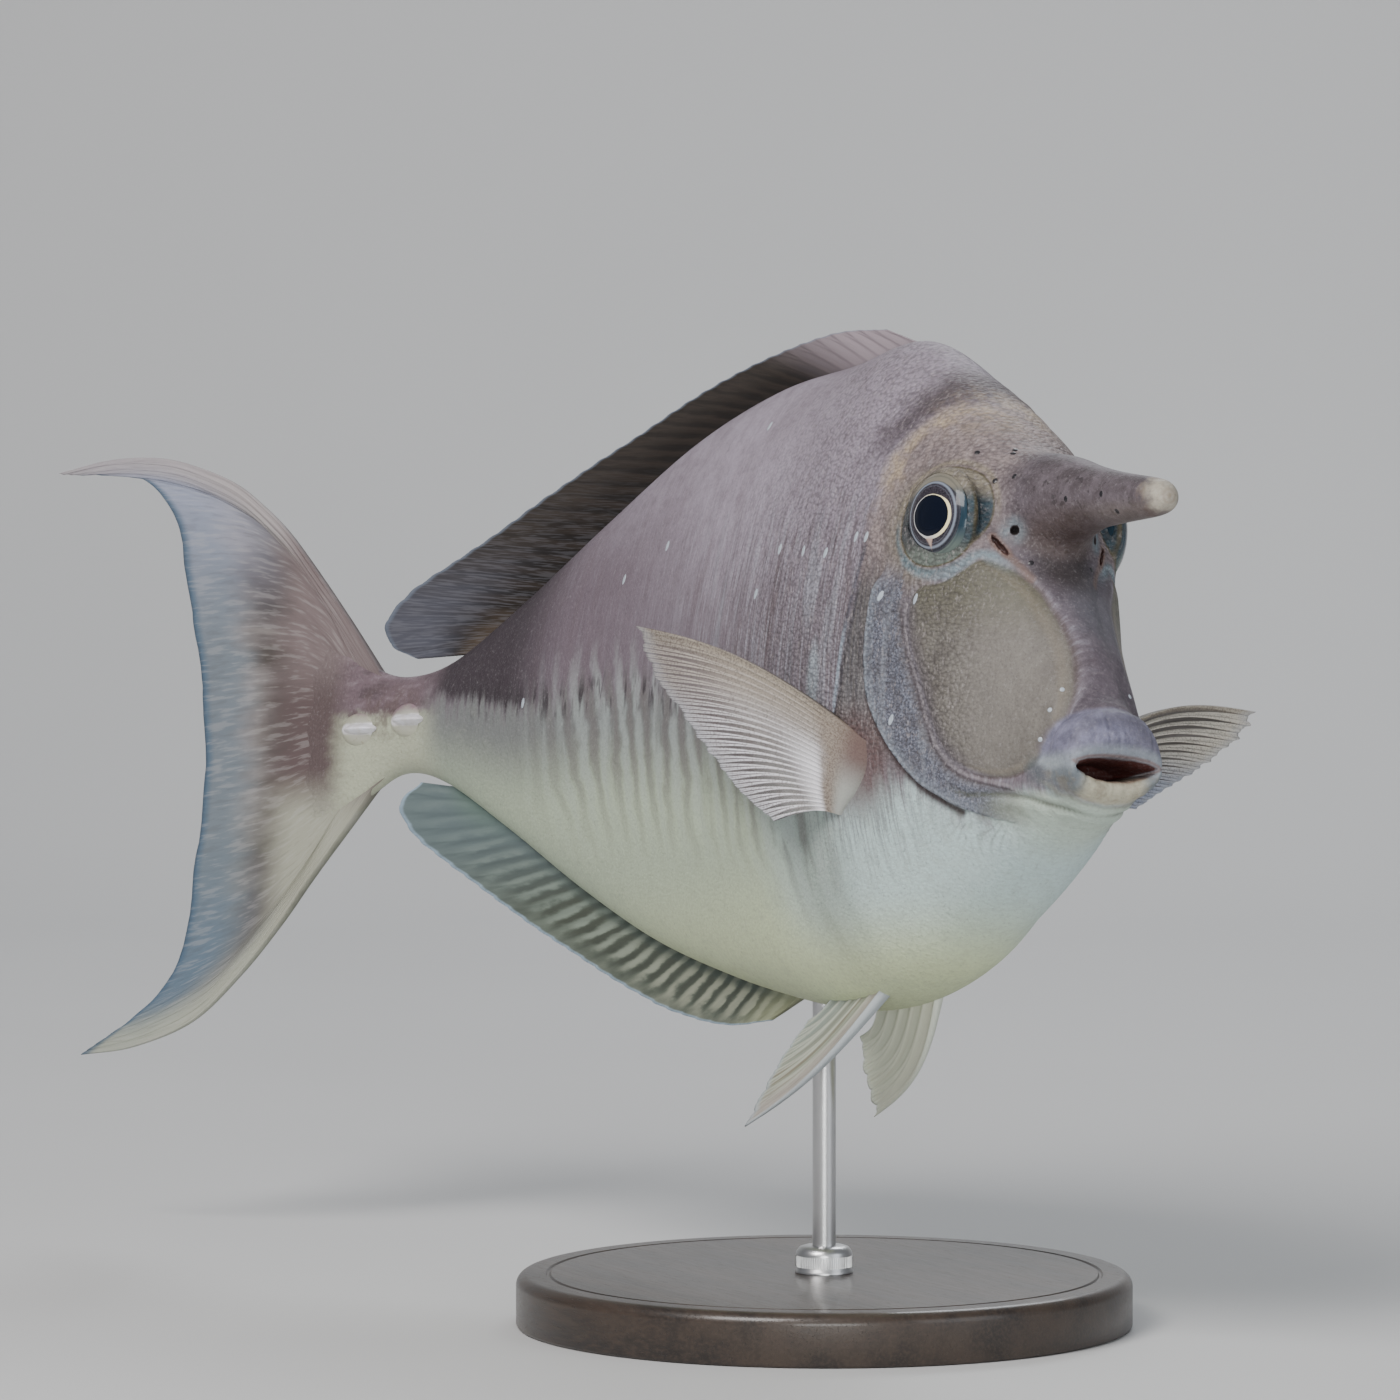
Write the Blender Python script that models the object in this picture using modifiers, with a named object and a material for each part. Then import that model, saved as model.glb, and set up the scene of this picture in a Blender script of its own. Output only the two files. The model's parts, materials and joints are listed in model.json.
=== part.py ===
"""A humpback unicornfish, life size, as a still display model held over a round base by one rod.

The fish is built straight, head towards +X, with the rim of its upper lip near x = 0. Its tail is then
swept towards its right (-Y), and the whole fish is tipped nose up and banked on the stand.
All sizes are in metres.
"""

import math

import bmesh
import bpy
import numpy as np
from mathutils import Euler, Matrix, Vector
from mathutils.bvhtree import BVHTree

# Driving sizes
STANDARD_LENGTH = 0.450  # lip to the root of the tail fin's rays
GAP = 0.0003  # between nodes that touch
PITCH = math.radians(6.8)  # nose up
BANK = math.radians(-6.65)  # left side down
SWEEP = math.radians(25.2)  # turn of the tail towards the right
SWEEP_START = -0.42 * STANDARD_LENGTH

# Stand
BASE_RADIUS = 0.105
BASE_THICKNESS = 0.018
BASE_EDGE = 0.004
ROD_RADIUS = 0.004
ROD_LENGTH = 0.092  # from the base's top to the belly
ROD_STATION = -0.187  # behind the pelvic fins, in front of the anal fin
COLLAR_RADIUS = 0.010
COLLAR_HEIGHT = 0.009
BASE_STEPS = 40
COLLAR_STEPS = 24

# Body sections, from the root of the tail fin to the inside of the mouth: top x, top z, bottom x,
# bottom z, half width, share of the height at which it is widest, upper and lower roundness.
SECTIONS = (
    (-0.464, 0.034, -0.464, -0.035, 0.0034, 0.50, 2.0, 2.0),
    (-0.448, 0.024, -0.448, -0.025, 0.0062, 0.50, 2.0, 2.0),
    (-0.430, 0.0196, -0.430, -0.0162, 0.0088, 0.50, 2.0, 2.0),
    (-0.405, 0.025, -0.408, -0.0205, 0.0125, 0.50, 2.0, 2.0),
    (-0.370, 0.045, -0.375, -0.0382, 0.0190, 0.49, 1.9, 1.9),
    (-0.325, 0.072, -0.332, -0.0622, 0.0270, 0.48, 1.85, 1.9),
    (-0.275, 0.097, -0.288, -0.0818, 0.0340, 0.47, 1.8, 1.95),
    (-0.225, 0.110, -0.240, -0.0956, 0.0400, 0.46, 1.8, 2.0),
    (-0.175, 0.113, -0.195, -0.1046, 0.0440, 0.45, 1.8, 2.05),
    (-0.1345, 0.116, -0.160, -0.109, 0.0460, 0.45, 1.85, 2.1),
    (-0.105, 0.1035, -0.138, -0.109, 0.0460, 0.46, 2.0, 2.1),
    (-0.082, 0.0885, -0.118, -0.106, 0.0438, 0.48, 2.3, 2.1),
    (-0.062, 0.0735, -0.098, -0.100, 0.0395, 0.50, 2.6, 2.1),
    (-0.0495, 0.0535, -0.081, -0.091, 0.0345, 0.50, 2.3, 2.1),
    (-0.041, 0.035, -0.063, -0.080, 0.0305, 0.49, 1.95, 2.3),
    (-0.030, 0.0165, -0.0475, -0.070, 0.0260, 0.46, 1.9, 2.35),
    (-0.020, 0.001, -0.0350, -0.0620, 0.0220, 0.45, 1.95, 2.2),
    (-0.0115, -0.0128, -0.0235, -0.0562, 0.0190, 0.45, 2.0, 2.0),
    (-0.0050, -0.018, -0.0165, -0.0533, 0.0179, 0.48, 2.2, 1.9),
    (-0.0008, -0.0243, -0.0095, -0.0506, 0.0172, 0.50, 2.2, 1.9),
    (0.0000, -0.0308, -0.0045, -0.0452, 0.0160, 0.50, 1.8, 1.8),
    (-0.0045, -0.0342, -0.0065, -0.0418, 0.0148, 0.50, 1.4, 1.5),
    (-0.021, -0.0355, -0.021, -0.0410, 0.0092, 0.50, 1.4, 1.5),
)
TORSO_SIDES = 36
TORSO_RINGS_PER_SECTION = 2
HEAD_SIDES = 48
HEAD_RINGS_PER_SECTION = 3
HEAD_FIRST_SECTION = 7

# Gill opening in side view (x, z), from the nape to below the chin
NAPE_CUT = ((-0.116, 0.140), (-0.104, 0.103), (-0.093, 0.062))
GILL_EDGE = (
    (-0.0865, 0.033),
    (-0.0900, 0.023),
    (-0.0915, 0.007),
    (-0.0910, -0.006),
    (-0.0880, -0.016),
    (-0.0800, -0.029),
    (-0.0700, -0.040),
    (-0.0590, -0.046),
    (-0.0480, -0.051),
)
THROAT_CUT = ((-0.034, -0.055), (-0.022, -0.061), (-0.012, -0.080))
GILL_LIFT = 0.0018  # how far the gill cover's edge stands off the flank
GILL_FADE = 0.011  # distance over which that lift dies away, forwards
TAIL_STALK_CUT = -0.4085

# Eyes
EYE_CENTRE = Vector((-0.0670, 0.0302, 0.0465))
EYE_RADIUS = 0.0154
EYE_DEPTH = 0.0070  # half the thickness of the flattened eyeball
EYE_FORWARD = math.radians(13)
EYE_UP = math.radians(0.5)
ORBIT_SIZE = (0.0169, 0.0172, 0.0054)  # the flattened mound of skin about the eye

# Nostrils in side view, radius and depth
NOSTRILS = (((-0.0462, 0.0418), 0.0015, 0.0022), ((-0.0490, 0.0370), 0.0021, 0.0022))
NOSTRIL_SIDES = 10

# Horn: centre x, centre z, half height, half width
HORN_RINGS = (
    (-0.078, 0.0480, 0.0270, 0.0270),
    (-0.062, 0.0500, 0.0220, 0.0215),
    (-0.048, 0.0518, 0.0172, 0.0166),
    (-0.034, 0.0524, 0.0136, 0.0130),
    (-0.022, 0.0518, 0.0105, 0.0105),
    (-0.008, 0.0503, 0.0085, 0.0088),
    (0.006, 0.0490, 0.0071, 0.0074),
    (0.0140, 0.0483, 0.0063, 0.0065),
    (0.0195, 0.0479, 0.0052, 0.0054),
    (0.0222, 0.0477, 0.0032, 0.0034),
)
HORN_TIP = (0.0233, 0.0476)
HORN_SIDES = 20
BLEND_REACH = 0.0065  # how far from the seam of horn and forehead the skin is smoothed
BLEND_ROUNDS = 10
HORN_CUT = -0.024

# Tail-stalk plates, each with a keel: centre x and z of the two on each side
PLATES = ((-0.4208, 0.0023), (-0.4475, 0.0000))
PLATE_SIZE = (0.0105, 0.0040, 0.0068)  # half length, half thickness, half height
KEEL_SIZE = (0.0095, 0.0054, 0.0024)  # half length, reach from its middle, half thickness

# Fins. Outlines are (x, z) in side view, from the first ray to the last.
ROOT_SINK = 0.006
DORSAL_RAYS = 33
DORSAL_ROOTS = ((-0.136, 0.1145), (-0.175, 0.1125), (-0.225, 0.109), (-0.275, 0.096),
                (-0.325, 0.071), (-0.370, 0.044), (-0.400, 0.027))
DORSAL_TIPS = ((-0.164, 0.1235), (-0.197, 0.1265), (-0.229, 0.1245), (-0.260, 0.1195), (-0.289, 0.112),
               (-0.317, 0.1020), (-0.343, 0.0925), (-0.369, 0.0815), (-0.394, 0.0695), (-0.415, 0.0600),
               (-0.433, 0.0510), (-0.4432, 0.0405), (-0.4400, 0.0315), (-0.4270, 0.0262))
ANAL_RAYS = 29
ANAL_ROOTS = ((-0.203, -0.1035), (-0.240, -0.0950), (-0.288, -0.0812), (-0.332, -0.0615),
              (-0.375, -0.0375), (-0.398, -0.0225))
ANAL_TIPS = ((-0.222, -0.1105), (-0.252, -0.1112), (-0.285, -0.1052), (-0.314, -0.095), (-0.341, -0.0833),
             (-0.365, -0.0722), (-0.387, -0.0607), (-0.408, -0.0492), (-0.4250, -0.0385), (-0.4325, -0.0275),
             (-0.4220, -0.0195))
MEDIAN_ROOT_HALF = 0.0014
MEDIAN_EDGE_HALF = 0.00035
RAY_RIDGE = 0.00038
SCALLOP = 0.975  # the web's length beside a ray's

CAUDAL_RAYS = 17
CAUDAL_ROWS = 8
CAUDAL_ROOT_X = -0.444
CAUDAL_ROOT_HEIGHT = 0.0215
CAUDAL_UPPER = ((-0.444, 0.0215), (-0.461, 0.042), (-0.476, 0.059), (-0.491, 0.075), (-0.503, 0.085),
                (-0.518, 0.095), (-0.536, 0.102), (-0.555, 0.1065), (-0.580, 0.107), (-0.606, 0.103))
CAUDAL_TRAILING = ((-0.606, 0.103), (-0.580, 0.1015), (-0.564, 0.099), (-0.552, 0.090), (-0.545, 0.079),
                   (-0.540, 0.060), (-0.536, 0.044), (-0.531, 0.025), (-0.527, 0.000), (-0.526, -0.020),
                   (-0.527, -0.035), (-0.529, -0.050), (-0.530, -0.065), (-0.532, -0.079),
                   (-0.540, -0.094), (-0.556, -0.107), (-0.579, -0.120))
CAUDAL_LOWER = ((-0.444, -0.0215), (-0.460, -0.040), (-0.473, -0.055), (-0.486, -0.071),
                (-0.504, -0.090), (-0.526, -0.1075), (-0.554, -0.117), (-0.579, -0.120))
CAUDAL_ROOT_HALF = 0.0026
CAUDAL_EDGE_HALF = 0.0004

# Paired fins: (x, out from the mid-plane, z), first ray to last
PECTORAL_RAYS = 14
PECTORAL_ROOTS = ((-0.0950, 0.0400, -0.0250), (-0.0990, 0.0410, -0.0330), (-0.1040, 0.0410, -0.0410),
                  (-0.1100, 0.0405, -0.0480))
PECTORAL_TIPS = ((-0.179, 0.083, 0.015), (-0.176, 0.082, 0.007), (-0.169, 0.080, -0.004),
                 (-0.160, 0.077, -0.013), (-0.151, 0.073, -0.024), (-0.143, 0.069, -0.033),
                 (-0.135, 0.065, -0.042), (-0.124, 0.057, -0.052))
LEFT_PECTORAL_TIPS = ((-0.123, 0.1280, 0.001), (-0.121, 0.1255, -0.004), (-0.119, 0.1200, -0.009),
                      (-0.119, 0.1140, -0.014), (-0.119, 0.1060, -0.020), (-0.119, 0.0960, -0.026),
                      (-0.118, 0.0880, -0.031), (-0.117, 0.0780, -0.037))
PECTORAL_HALF = (0.0022, 0.0004)
LEFT_PECTORAL_BOW = (-0.004, 0.0, 0.009)  # how far the middle of its longest ray is bent from straight
RIGHT_PECTORAL_BOW = (0.0, 0.002, 0.007)
PELVIC_RAYS = 4
PELVIC_ROOTS = ((-0.126, 0.010, -0.104), (-0.138, 0.0095, -0.1055), (-0.150, 0.009, -0.106),
                (-0.162, 0.0085, -0.1055))
RIGHT_PELVIC_TIPS = ((-0.177, 0.034, -0.150), (-0.174, 0.030, -0.139), (-0.173, 0.023, -0.126),
                     (-0.172, 0.014, -0.113))
LEFT_PELVIC_TIPS = ((-0.188, 0.022, -0.143), (-0.188, 0.019, -0.136), (-0.186, 0.015, -0.124),
                    (-0.184, 0.013, -0.116))
LEFT_PELVIC_BOW = (0.003, 0.0025, -0.0055)
RIGHT_PELVIC_BOW = (0.004, 0.003, -0.0055)
PELVIC_HALF = (0.0019, 0.0004)
PELVIC_COLUMNS_PER_RAY = 4

# Materials: colour, roughness, metallic
SKIN = ((0.36, 0.31, 0.31, 1.0), 0.45, 0.0)
BELLY = ((0.62, 0.68, 0.56, 1.0), 0.42, 0.0)
FIN = ((0.46, 0.42, 0.38, 1.0), 0.50, 0.0)
EYE = ((0.03, 0.05, 0.09, 1.0), 0.08, 0.0)
BLACK_WOOD = ((0.025, 0.022, 0.020, 1.0), 0.35, 0.0)
STEEL = ((0.55, 0.55, 0.56, 1.0), 0.30, 1.0)


def clear_scene():
    """Removes whatever the file opened with."""
    for obj in list(bpy.data.objects):
        bpy.data.objects.remove(obj)


def make_material(name, look):
    """A Principled material from (colour, roughness, metallic)."""
    colour, roughness, metallic = look
    material = bpy.data.materials.new(name)
    material.use_nodes = True
    shader = material.node_tree.nodes["Principled BSDF"]
    shader.inputs["Base Color"].default_value = colour
    shader.inputs["Roughness"].default_value = roughness
    shader.inputs["Metallic"].default_value = metallic
    return material


def spline(points, at):
    """Points on a Catmull-Rom curve through evenly numbered points; at runs from 0 to len(points) - 1."""
    points = np.asarray(points, float)
    at = np.clip(np.asarray(at, float), 0, len(points) - 1)
    index = np.minimum(at.astype(int), len(points) - 2)
    t = (at - index)[..., None]
    ends = np.vstack([2 * points[0] - points[1], points, 2 * points[-1] - points[-2]])
    a, b, c, d = ends[index], ends[index + 1], ends[index + 2], ends[index + 3]
    return 0.5 * (2 * b + (c - a) * t + (2 * a - 5 * b + 4 * c - d) * t**2 + (3 * b - a - 3 * c + d) * t**3)


def along(points, shares):
    """Points at these shares of the length of the curve through points."""
    fine = np.linspace(0, len(points) - 1, 40 * len(points))
    curve = spline(points, fine)
    run = np.concatenate([[0], np.cumsum(np.linalg.norm(np.diff(curve, axis=0), axis=1))])
    at = np.interp(np.asarray(shares) * run[-1], run, fine)
    return spline(points, at)


def body_ring(station, sides, swell=0.0):
    """One ring of the body at a station along SECTIONS, swollen outwards by swell."""
    top_x, top_z, low_x, low_z, half, widest, over, under = spline(SECTIONS, station)
    upward = np.array([top_x - low_x, top_z - low_z])
    height = np.linalg.norm(upward)
    upward /= height
    angle = np.linspace(0, 2 * math.pi, sides, endpoint=False)
    cosine, sine = np.cos(angle), np.sin(angle)
    roundness = np.where(cosine >= 0, over, under)
    reach = np.where(cosine >= 0, (1 - widest) * height + swell, widest * height + swell)
    out = np.sign(sine) * np.abs(sine) ** (2 / roundness) * (half + swell)
    rise = widest * height + np.sign(cosine) * np.abs(cosine) ** (2 / roundness) * reach
    return np.stack([low_x + upward[0] * rise, out, low_z + upward[1] * rise], axis=1)


def object_from(name, mesh, material):
    obj = bpy.data.objects.new(name, mesh)
    bpy.context.scene.collection.objects.link(obj)
    if material is not None:
        mesh.materials.append(material)
    return obj


def loft(name, rings, material=None, start=None, end=None):
    """A closed body through rings of points. start and end are the points that its caps rise to."""
    shape = bmesh.new()
    rows = [[shape.verts.new(point) for point in ring] for ring in rings]
    count = len(rows[0])
    for first, second in zip(rows, rows[1:]):
        for i in range(count):
            j = (i + 1) % count
            shape.faces.new((first[i], first[j], second[j], second[i]))
    for row, tip, turn in ((rows[0], start, 1), (rows[-1], end, -1)):
        centre = np.mean([vert.co for vert in row], axis=0) if tip is None else tip
        hub = shape.verts.new(centre)
        for i in range(count):
            j = (i + 1) % count
            shape.faces.new((hub, row[j], row[i])[::turn])
    bmesh.ops.recalc_face_normals(shape, faces=shape.faces)
    mesh = bpy.data.meshes.new(name)
    shape.to_mesh(mesh)
    shape.free()
    return object_from(name, mesh, material)


def prism(name, outline, half_width):
    """A flat outline in side view, extruded evenly to both sides of the mid-plane."""
    rings = [[(x, y, z) for x, z in outline] for y in (-half_width, half_width)]
    shape = bmesh.new()
    lower, upper = ([shape.verts.new(point) for point in ring] for ring in rings)
    shape.faces.new(lower)
    shape.faces.new(upper[::-1])
    for i in range(len(outline)):
        j = (i + 1) % len(outline)
        shape.faces.new((lower[j], lower[i], upper[i], upper[j]))
    bmesh.ops.recalc_face_normals(shape, faces=shape.faces)
    mesh = bpy.data.meshes.new(name)
    shape.to_mesh(mesh)
    shape.free()
    return object_from(name, mesh, None)


def fin_sheet(name, middle, half, material):
    """A closed thin sheet about a grid of points, each as thick as half says to both sides.

    Both faces are split into the same triangles, so a curved fin can't cross itself.
    """
    rows, columns = half.shape
    across = np.gradient(middle, axis=0)
    down = np.gradient(middle, axis=1)
    normal = np.cross(across, down)
    normal /= np.maximum(np.linalg.norm(normal, axis=2, keepdims=True), 1e-12)
    shape = bmesh.new()
    faces = [
        [[shape.verts.new(middle[i, j] + side * half[i, j] * normal[i, j]) for j in range(columns)]
         for i in range(rows)]
        for side in (1, -1)
    ]
    for sheet, turn in zip(faces, (1, -1)):
        for i in range(rows - 1):
            for j in range(columns - 1):
                a, b, c, d = sheet[i][j], sheet[i + 1][j], sheet[i + 1][j + 1], sheet[i][j + 1]
                shape.faces.new((a, b, c)[::turn])
                shape.faces.new((a, c, d)[::turn])
    border = [(i, 0) for i in range(rows)]
    border += [(rows - 1, j) for j in range(1, columns)]
    border += [(i, columns - 1) for i in range(rows - 2, -1, -1)]
    border += [(0, j) for j in range(columns - 2, 0, -1)]
    for (i, j), (k, m) in zip(border, border[1:] + border[:1]):
        a, b = faces[0][i][j], faces[0][k][m]
        c, d = faces[1][k][m], faces[1][i][j]
        shape.faces.new((a, d, c))
        shape.faces.new((a, c, b))
    bmesh.ops.recalc_face_normals(shape, faces=shape.faces)
    mesh = bpy.data.meshes.new(name)
    shape.to_mesh(mesh)
    shape.free()
    return object_from(name, mesh, material)


def boolean(obj, others, operation):
    """Applies one Boolean of obj with the other closed meshes, and removes those."""
    group = bpy.data.collections.new("joined")
    bpy.context.scene.collection.children.link(group)
    for other in others:
        group.objects.link(other)
    modifier = obj.modifiers.new("Boolean", "BOOLEAN")
    modifier.operand_type = "COLLECTION"
    modifier.collection = group
    modifier.operation = operation
    modifier.solver = "EXACT"
    bpy.context.view_layer.objects.active = obj
    bpy.ops.object.modifier_apply(modifier=modifier.name)
    for other in others:
        bpy.data.objects.remove(other)
    bpy.data.collections.remove(group)
    keep_largest(obj)


def keep_largest(obj):
    """Keeps only the largest closed surface of a mesh."""
    shape = bmesh.new()
    shape.from_mesh(obj.data)
    unseen = set(shape.verts)
    islands = []
    while unseen:
        island, edge = set(), [next(iter(unseen))]
        while edge:
            vert = edge.pop()
            if vert in island:
                continue
            island.add(vert)
            edge.extend(link.other_vert(vert) for link in vert.link_edges)
        unseen -= island
        islands.append(island)
    largest = max(islands, key=island_size)
    spare = [vert for vert in shape.verts if vert not in largest]
    bmesh.ops.delete(shape, geom=spare, context="VERTS")
    bmesh.ops.triangulate(shape, faces=shape.faces)
    shape.to_mesh(obj.data)
    shape.free()


def island_size(island):
    """The volume of an island's bounding box."""
    points = np.array([vert.co for vert in island])
    return float(np.prod(np.ptp(points, axis=0) + 1e-6))


def copy_of(obj, name):
    twin = bpy.data.objects.new(name, obj.data.copy())
    bpy.context.scene.collection.objects.link(twin)
    return twin


def offset_line(points, distance):
    """An open line in side view, moved sideways to its left by distance."""
    points = np.asarray(points, float)
    step = np.gradient(points, axis=0)
    step /= np.linalg.norm(step, axis=1, keepdims=True)
    return points + distance * np.stack([-step[:, 1], step[:, 0]], axis=1)


def distance_to_line(points, line):
    """The shortest distance from each (x, z) to a line of points."""
    line = np.asarray(line, float)
    best = np.full(len(points), np.inf)
    for a, b in zip(line, line[1:]):
        run = b - a
        share = np.clip((points - a) @ run / (run @ run), 0, 1)
        best = np.minimum(best, np.linalg.norm(points - a - share[:, None] * run, axis=1))
    return best


def torso_loft(name, swell=0.0, material=None):
    """The whole body without the gill cover, from the tail fin's root to the mouth."""
    stations = np.arange(0, len(SECTIONS) - 1 + 1e-6, 1 / TORSO_RINGS_PER_SECTION)
    rings = [body_ring(station, TORSO_SIDES, swell) for station in stations]
    rings[0][:, 0] -= swell
    return loft(name, rings, material)


def head_loft(material):
    """The head with the gill cover's edge lifted off the flank; its back is cut off later."""
    last = len(SECTIONS) - 1
    stations = np.arange(HEAD_FIRST_SECTION, last + 1e-6, 1 / HEAD_RINGS_PER_SECTION)
    rings = []
    for station in stations:
        ring = body_ring(station, HEAD_SIDES)
        distance = distance_to_line(ring[:, [0, 2]], GILL_EDGE)
        ring[:, 1] += np.sign(ring[:, 1]) * GILL_LIFT * np.exp(-((distance / GILL_FADE) ** 2))
        rings.append(ring)
    return loft("head", rings, material)


def eye_frame(side):
    """Where an eye sits and which way it looks: side is 1 for the left eye, -1 for the right."""
    look = Vector((
        math.sin(EYE_FORWARD) * math.cos(EYE_UP),
        side * math.cos(EYE_FORWARD) * math.cos(EYE_UP),
        math.sin(EYE_UP),
    ))
    centre = Vector((EYE_CENTRE.x, side * EYE_CENTRE.y, EYE_CENTRE.z))
    return Matrix.Translation(centre) @ look.to_track_quat("Z", "Y").to_matrix().to_4x4()


def ellipsoid(name, half_sizes, place, segments, rings, material=None):
    shape = bmesh.new()
    bmesh.ops.create_uvsphere(shape, u_segments=segments, v_segments=rings, radius=1.0)
    bmesh.ops.transform(shape, matrix=place @ Matrix.Diagonal((*half_sizes, 1.0)), verts=shape.verts)
    bmesh.ops.recalc_face_normals(shape, faces=shape.faces)
    mesh = bpy.data.meshes.new(name)
    shape.to_mesh(mesh)
    shape.free()
    return object_from(name, mesh, material)


def cylinder(name, radius, depth, place, sides, material=None):
    shape = bmesh.new()
    bmesh.ops.create_cone(
        shape, cap_ends=True, segments=sides, radius1=radius, radius2=radius, depth=depth, matrix=place
    )
    bmesh.ops.recalc_face_normals(shape, faces=shape.faces)
    mesh = bpy.data.meshes.new(name)
    shape.to_mesh(mesh)
    shape.free()
    return object_from(name, mesh, material)


def eye(side, name, material):
    return ellipsoid(name, (EYE_RADIUS, EYE_RADIUS, EYE_DEPTH), eye_frame(side), 18, 10, material)


def horn_loft():
    angle = np.linspace(0, 2 * math.pi, HORN_SIDES, endpoint=False)
    rings = [
        np.stack([np.full(HORN_SIDES, x), half_width * np.sin(angle), z + half_height * np.cos(angle)], axis=1)
        for x, z, half_height, half_width in HORN_RINGS
    ]
    tip = (HORN_TIP[0], 0.0, HORN_TIP[1])
    return loft("horn_core", rings, None, end=tip)


def smooth_seam(obj, first, second):
    """Rounds the seam of two joined bodies: smooths the points that lie near both of their surfaces."""
    shape = bmesh.new()
    shape.from_mesh(obj.data)
    near = []
    for vert in shape.verts:
        gaps = [tree.find_nearest(vert.co)[3] for tree in (first, second)]
        if max(gaps) < BLEND_REACH:
            near.append(vert)
    for _ in range(BLEND_ROUNDS):
        bmesh.ops.smooth_vert(
            shape, verts=near, factor=0.5, use_axis_x=True, use_axis_y=True, use_axis_z=True
        )
    shape.to_mesh(obj.data)
    shape.free()


def surface_tree(obj):
    """A search tree of a mesh's surface."""
    shape = bmesh.new()
    shape.from_mesh(obj.data)
    tree = BVHTree.FromBMesh(shape)
    shape.free()
    return tree


def build_head_and_horn(skin):
    """The head node, with its lips, orbits, nostrils and gill covers, and the horn cut from it."""
    head = head_loft(skin)
    core = horn_loft()
    trees = surface_tree(head), surface_tree(core)
    boolean(head, [core], "UNION")
    smooth_seam(head, *trees)
    boolean(head, [ellipsoid("orbit", ORBIT_SIZE, eye_frame(side), 24, 14) for side in (1, -1)], "UNION")
    front = prism("front", head_outline(), 0.08)
    boolean(head, [front], "INTERSECT")
    tree = surface_tree(head)
    pits = []
    for (x, z), radius, depth in NOSTRILS:
        for side in (1, -1):
            point, normal, _, _ = tree.ray_cast(Vector((x, side * 0.1, z)), Vector((0, -side, 0)))
            turn = normal.to_track_quat("Z", "Y").to_matrix().to_4x4()
            place = Matrix.Translation(point) @ turn
            pits.append(cylinder("pit", radius, 2 * depth, place, NOSTRIL_SIDES))
    sockets = [
        ellipsoid("socket", (EYE_RADIUS + GAP, EYE_RADIUS + GAP, EYE_DEPTH + GAP), eye_frame(side), 18, 10)
        for side in (1, -1)
    ]
    boolean(head, [*pits, *sockets], "DIFFERENCE")
    horn = copy_of(head, "horn")
    boolean(horn, [horn_box(HORN_CUT + GAP)], "INTERSECT")
    boolean(head, [horn_box(HORN_CUT)], "DIFFERENCE")
    return head, horn


def horn_box(back):
    """A block round the free part of the horn, from x = back forwards."""
    return prism("horn_box", ((back, 0.025), (0.05, 0.025), (0.05, 0.085), (back, 0.085)), 0.03)


def cut_line():
    """The line in side view that parts the head from the torso."""
    return np.array([*NAPE_CUT, *GILL_EDGE, *THROAT_CUT])


def head_outline():
    """The side-view region in front of the cut."""
    line = [tuple(point) for point in cut_line()]
    return [*line, (0.06, -0.080), (0.06, 0.140)]


def torso_outline():
    """The side-view region behind the cut, as far as the tail stalk."""
    line = [tuple(point) for point in offset_line(cut_line(), -GAP)]
    return [*line, (-0.012, -0.150), (TAIL_STALK_CUT + GAP, -0.150), (TAIL_STALK_CUT + GAP, 0.140)]


def build_torso(skin):
    torso = torso_loft("torso", material=skin)
    boolean(torso, [prism("middle", torso_outline(), 0.08)], "INTERSECT")
    return torso


def build_tail_stalk(skin):
    """The tail stalk with two keeled plates on each side."""
    stalk = torso_loft("tail_stalk", material=skin)
    back = ((TAIL_STALK_CUT, -0.15), (TAIL_STALK_CUT, 0.15), (-0.49, 0.15), (-0.49, -0.15))
    boolean(stalk, [prism("back", back, 0.08)], "INTERSECT")
    pieces = []
    for x, z in PLATES:
        station = np.interp(x, [row[0] for row in SECTIONS[:4]], range(4))
        out = body_ring(station, 4)[1][1]
        for side in (1, -1):
            plate = Matrix.Translation((x, side * (out - 0.0018), z))
            pieces.append(ellipsoid("plate", PLATE_SIZE, plate, 12, 6))
            keel = Matrix.Translation((x, side * (out - 0.0005), z))
            pieces.append(ellipsoid("keel", KEEL_SIZE, keel, 8, 6))
    boolean(stalk, pieces, "UNION")
    return stalk


def ray_columns(rays, per_ray=2):
    """Shares along a fin for the columns of its mesh, and 1 on each ray, 0 halfway between two."""
    count = per_ray * (rays - 1) + 1
    shares = np.linspace(0, 1, count)
    ridge = 0.5 + 0.5 * np.cos(2 * math.pi * np.arange(count) / per_ray)
    return shares, ridge


def sheet_thickness(ridge, rows, halves):
    """Half thickness over a fin: thick at the root, thin at the edge, with the rays raised."""
    share = np.clip(rows, 0, 1)
    web = halves[0] + (halves[1] - halves[0]) * share**0.8
    return web[None, :] + RAY_RIDGE * ridge[:, None] * (1 - 0.35 * share[None, :])


def median_fin(name, rays, roots, tips, inward, material):
    """A fin on the mid-line whose rays run from roots to tips. inward is -1 for the back, 1 for the belly."""
    shares, ridge = ray_columns(rays)
    root = along(roots, shares)
    tip = along(tips, shares)
    rows = np.array([-1.0, 0.0, 0.5, 1.0])
    length = SCALLOP + (1 - SCALLOP) * ridge
    grid = np.zeros((len(shares), len(rows), 3))
    for j, row in enumerate(rows):
        if row < 0:
            point = root + np.array([0.0, inward * ROOT_SINK])
        else:
            point = root + (tip - root) * (row * length)[:, None]
        grid[:, j, 0], grid[:, j, 2] = point[:, 0], point[:, 1]
    half = sheet_thickness(ridge, rows, (MEDIAN_ROOT_HALF, MEDIAN_EDGE_HALF))
    return fin_sheet(name, grid, half, material)


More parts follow.
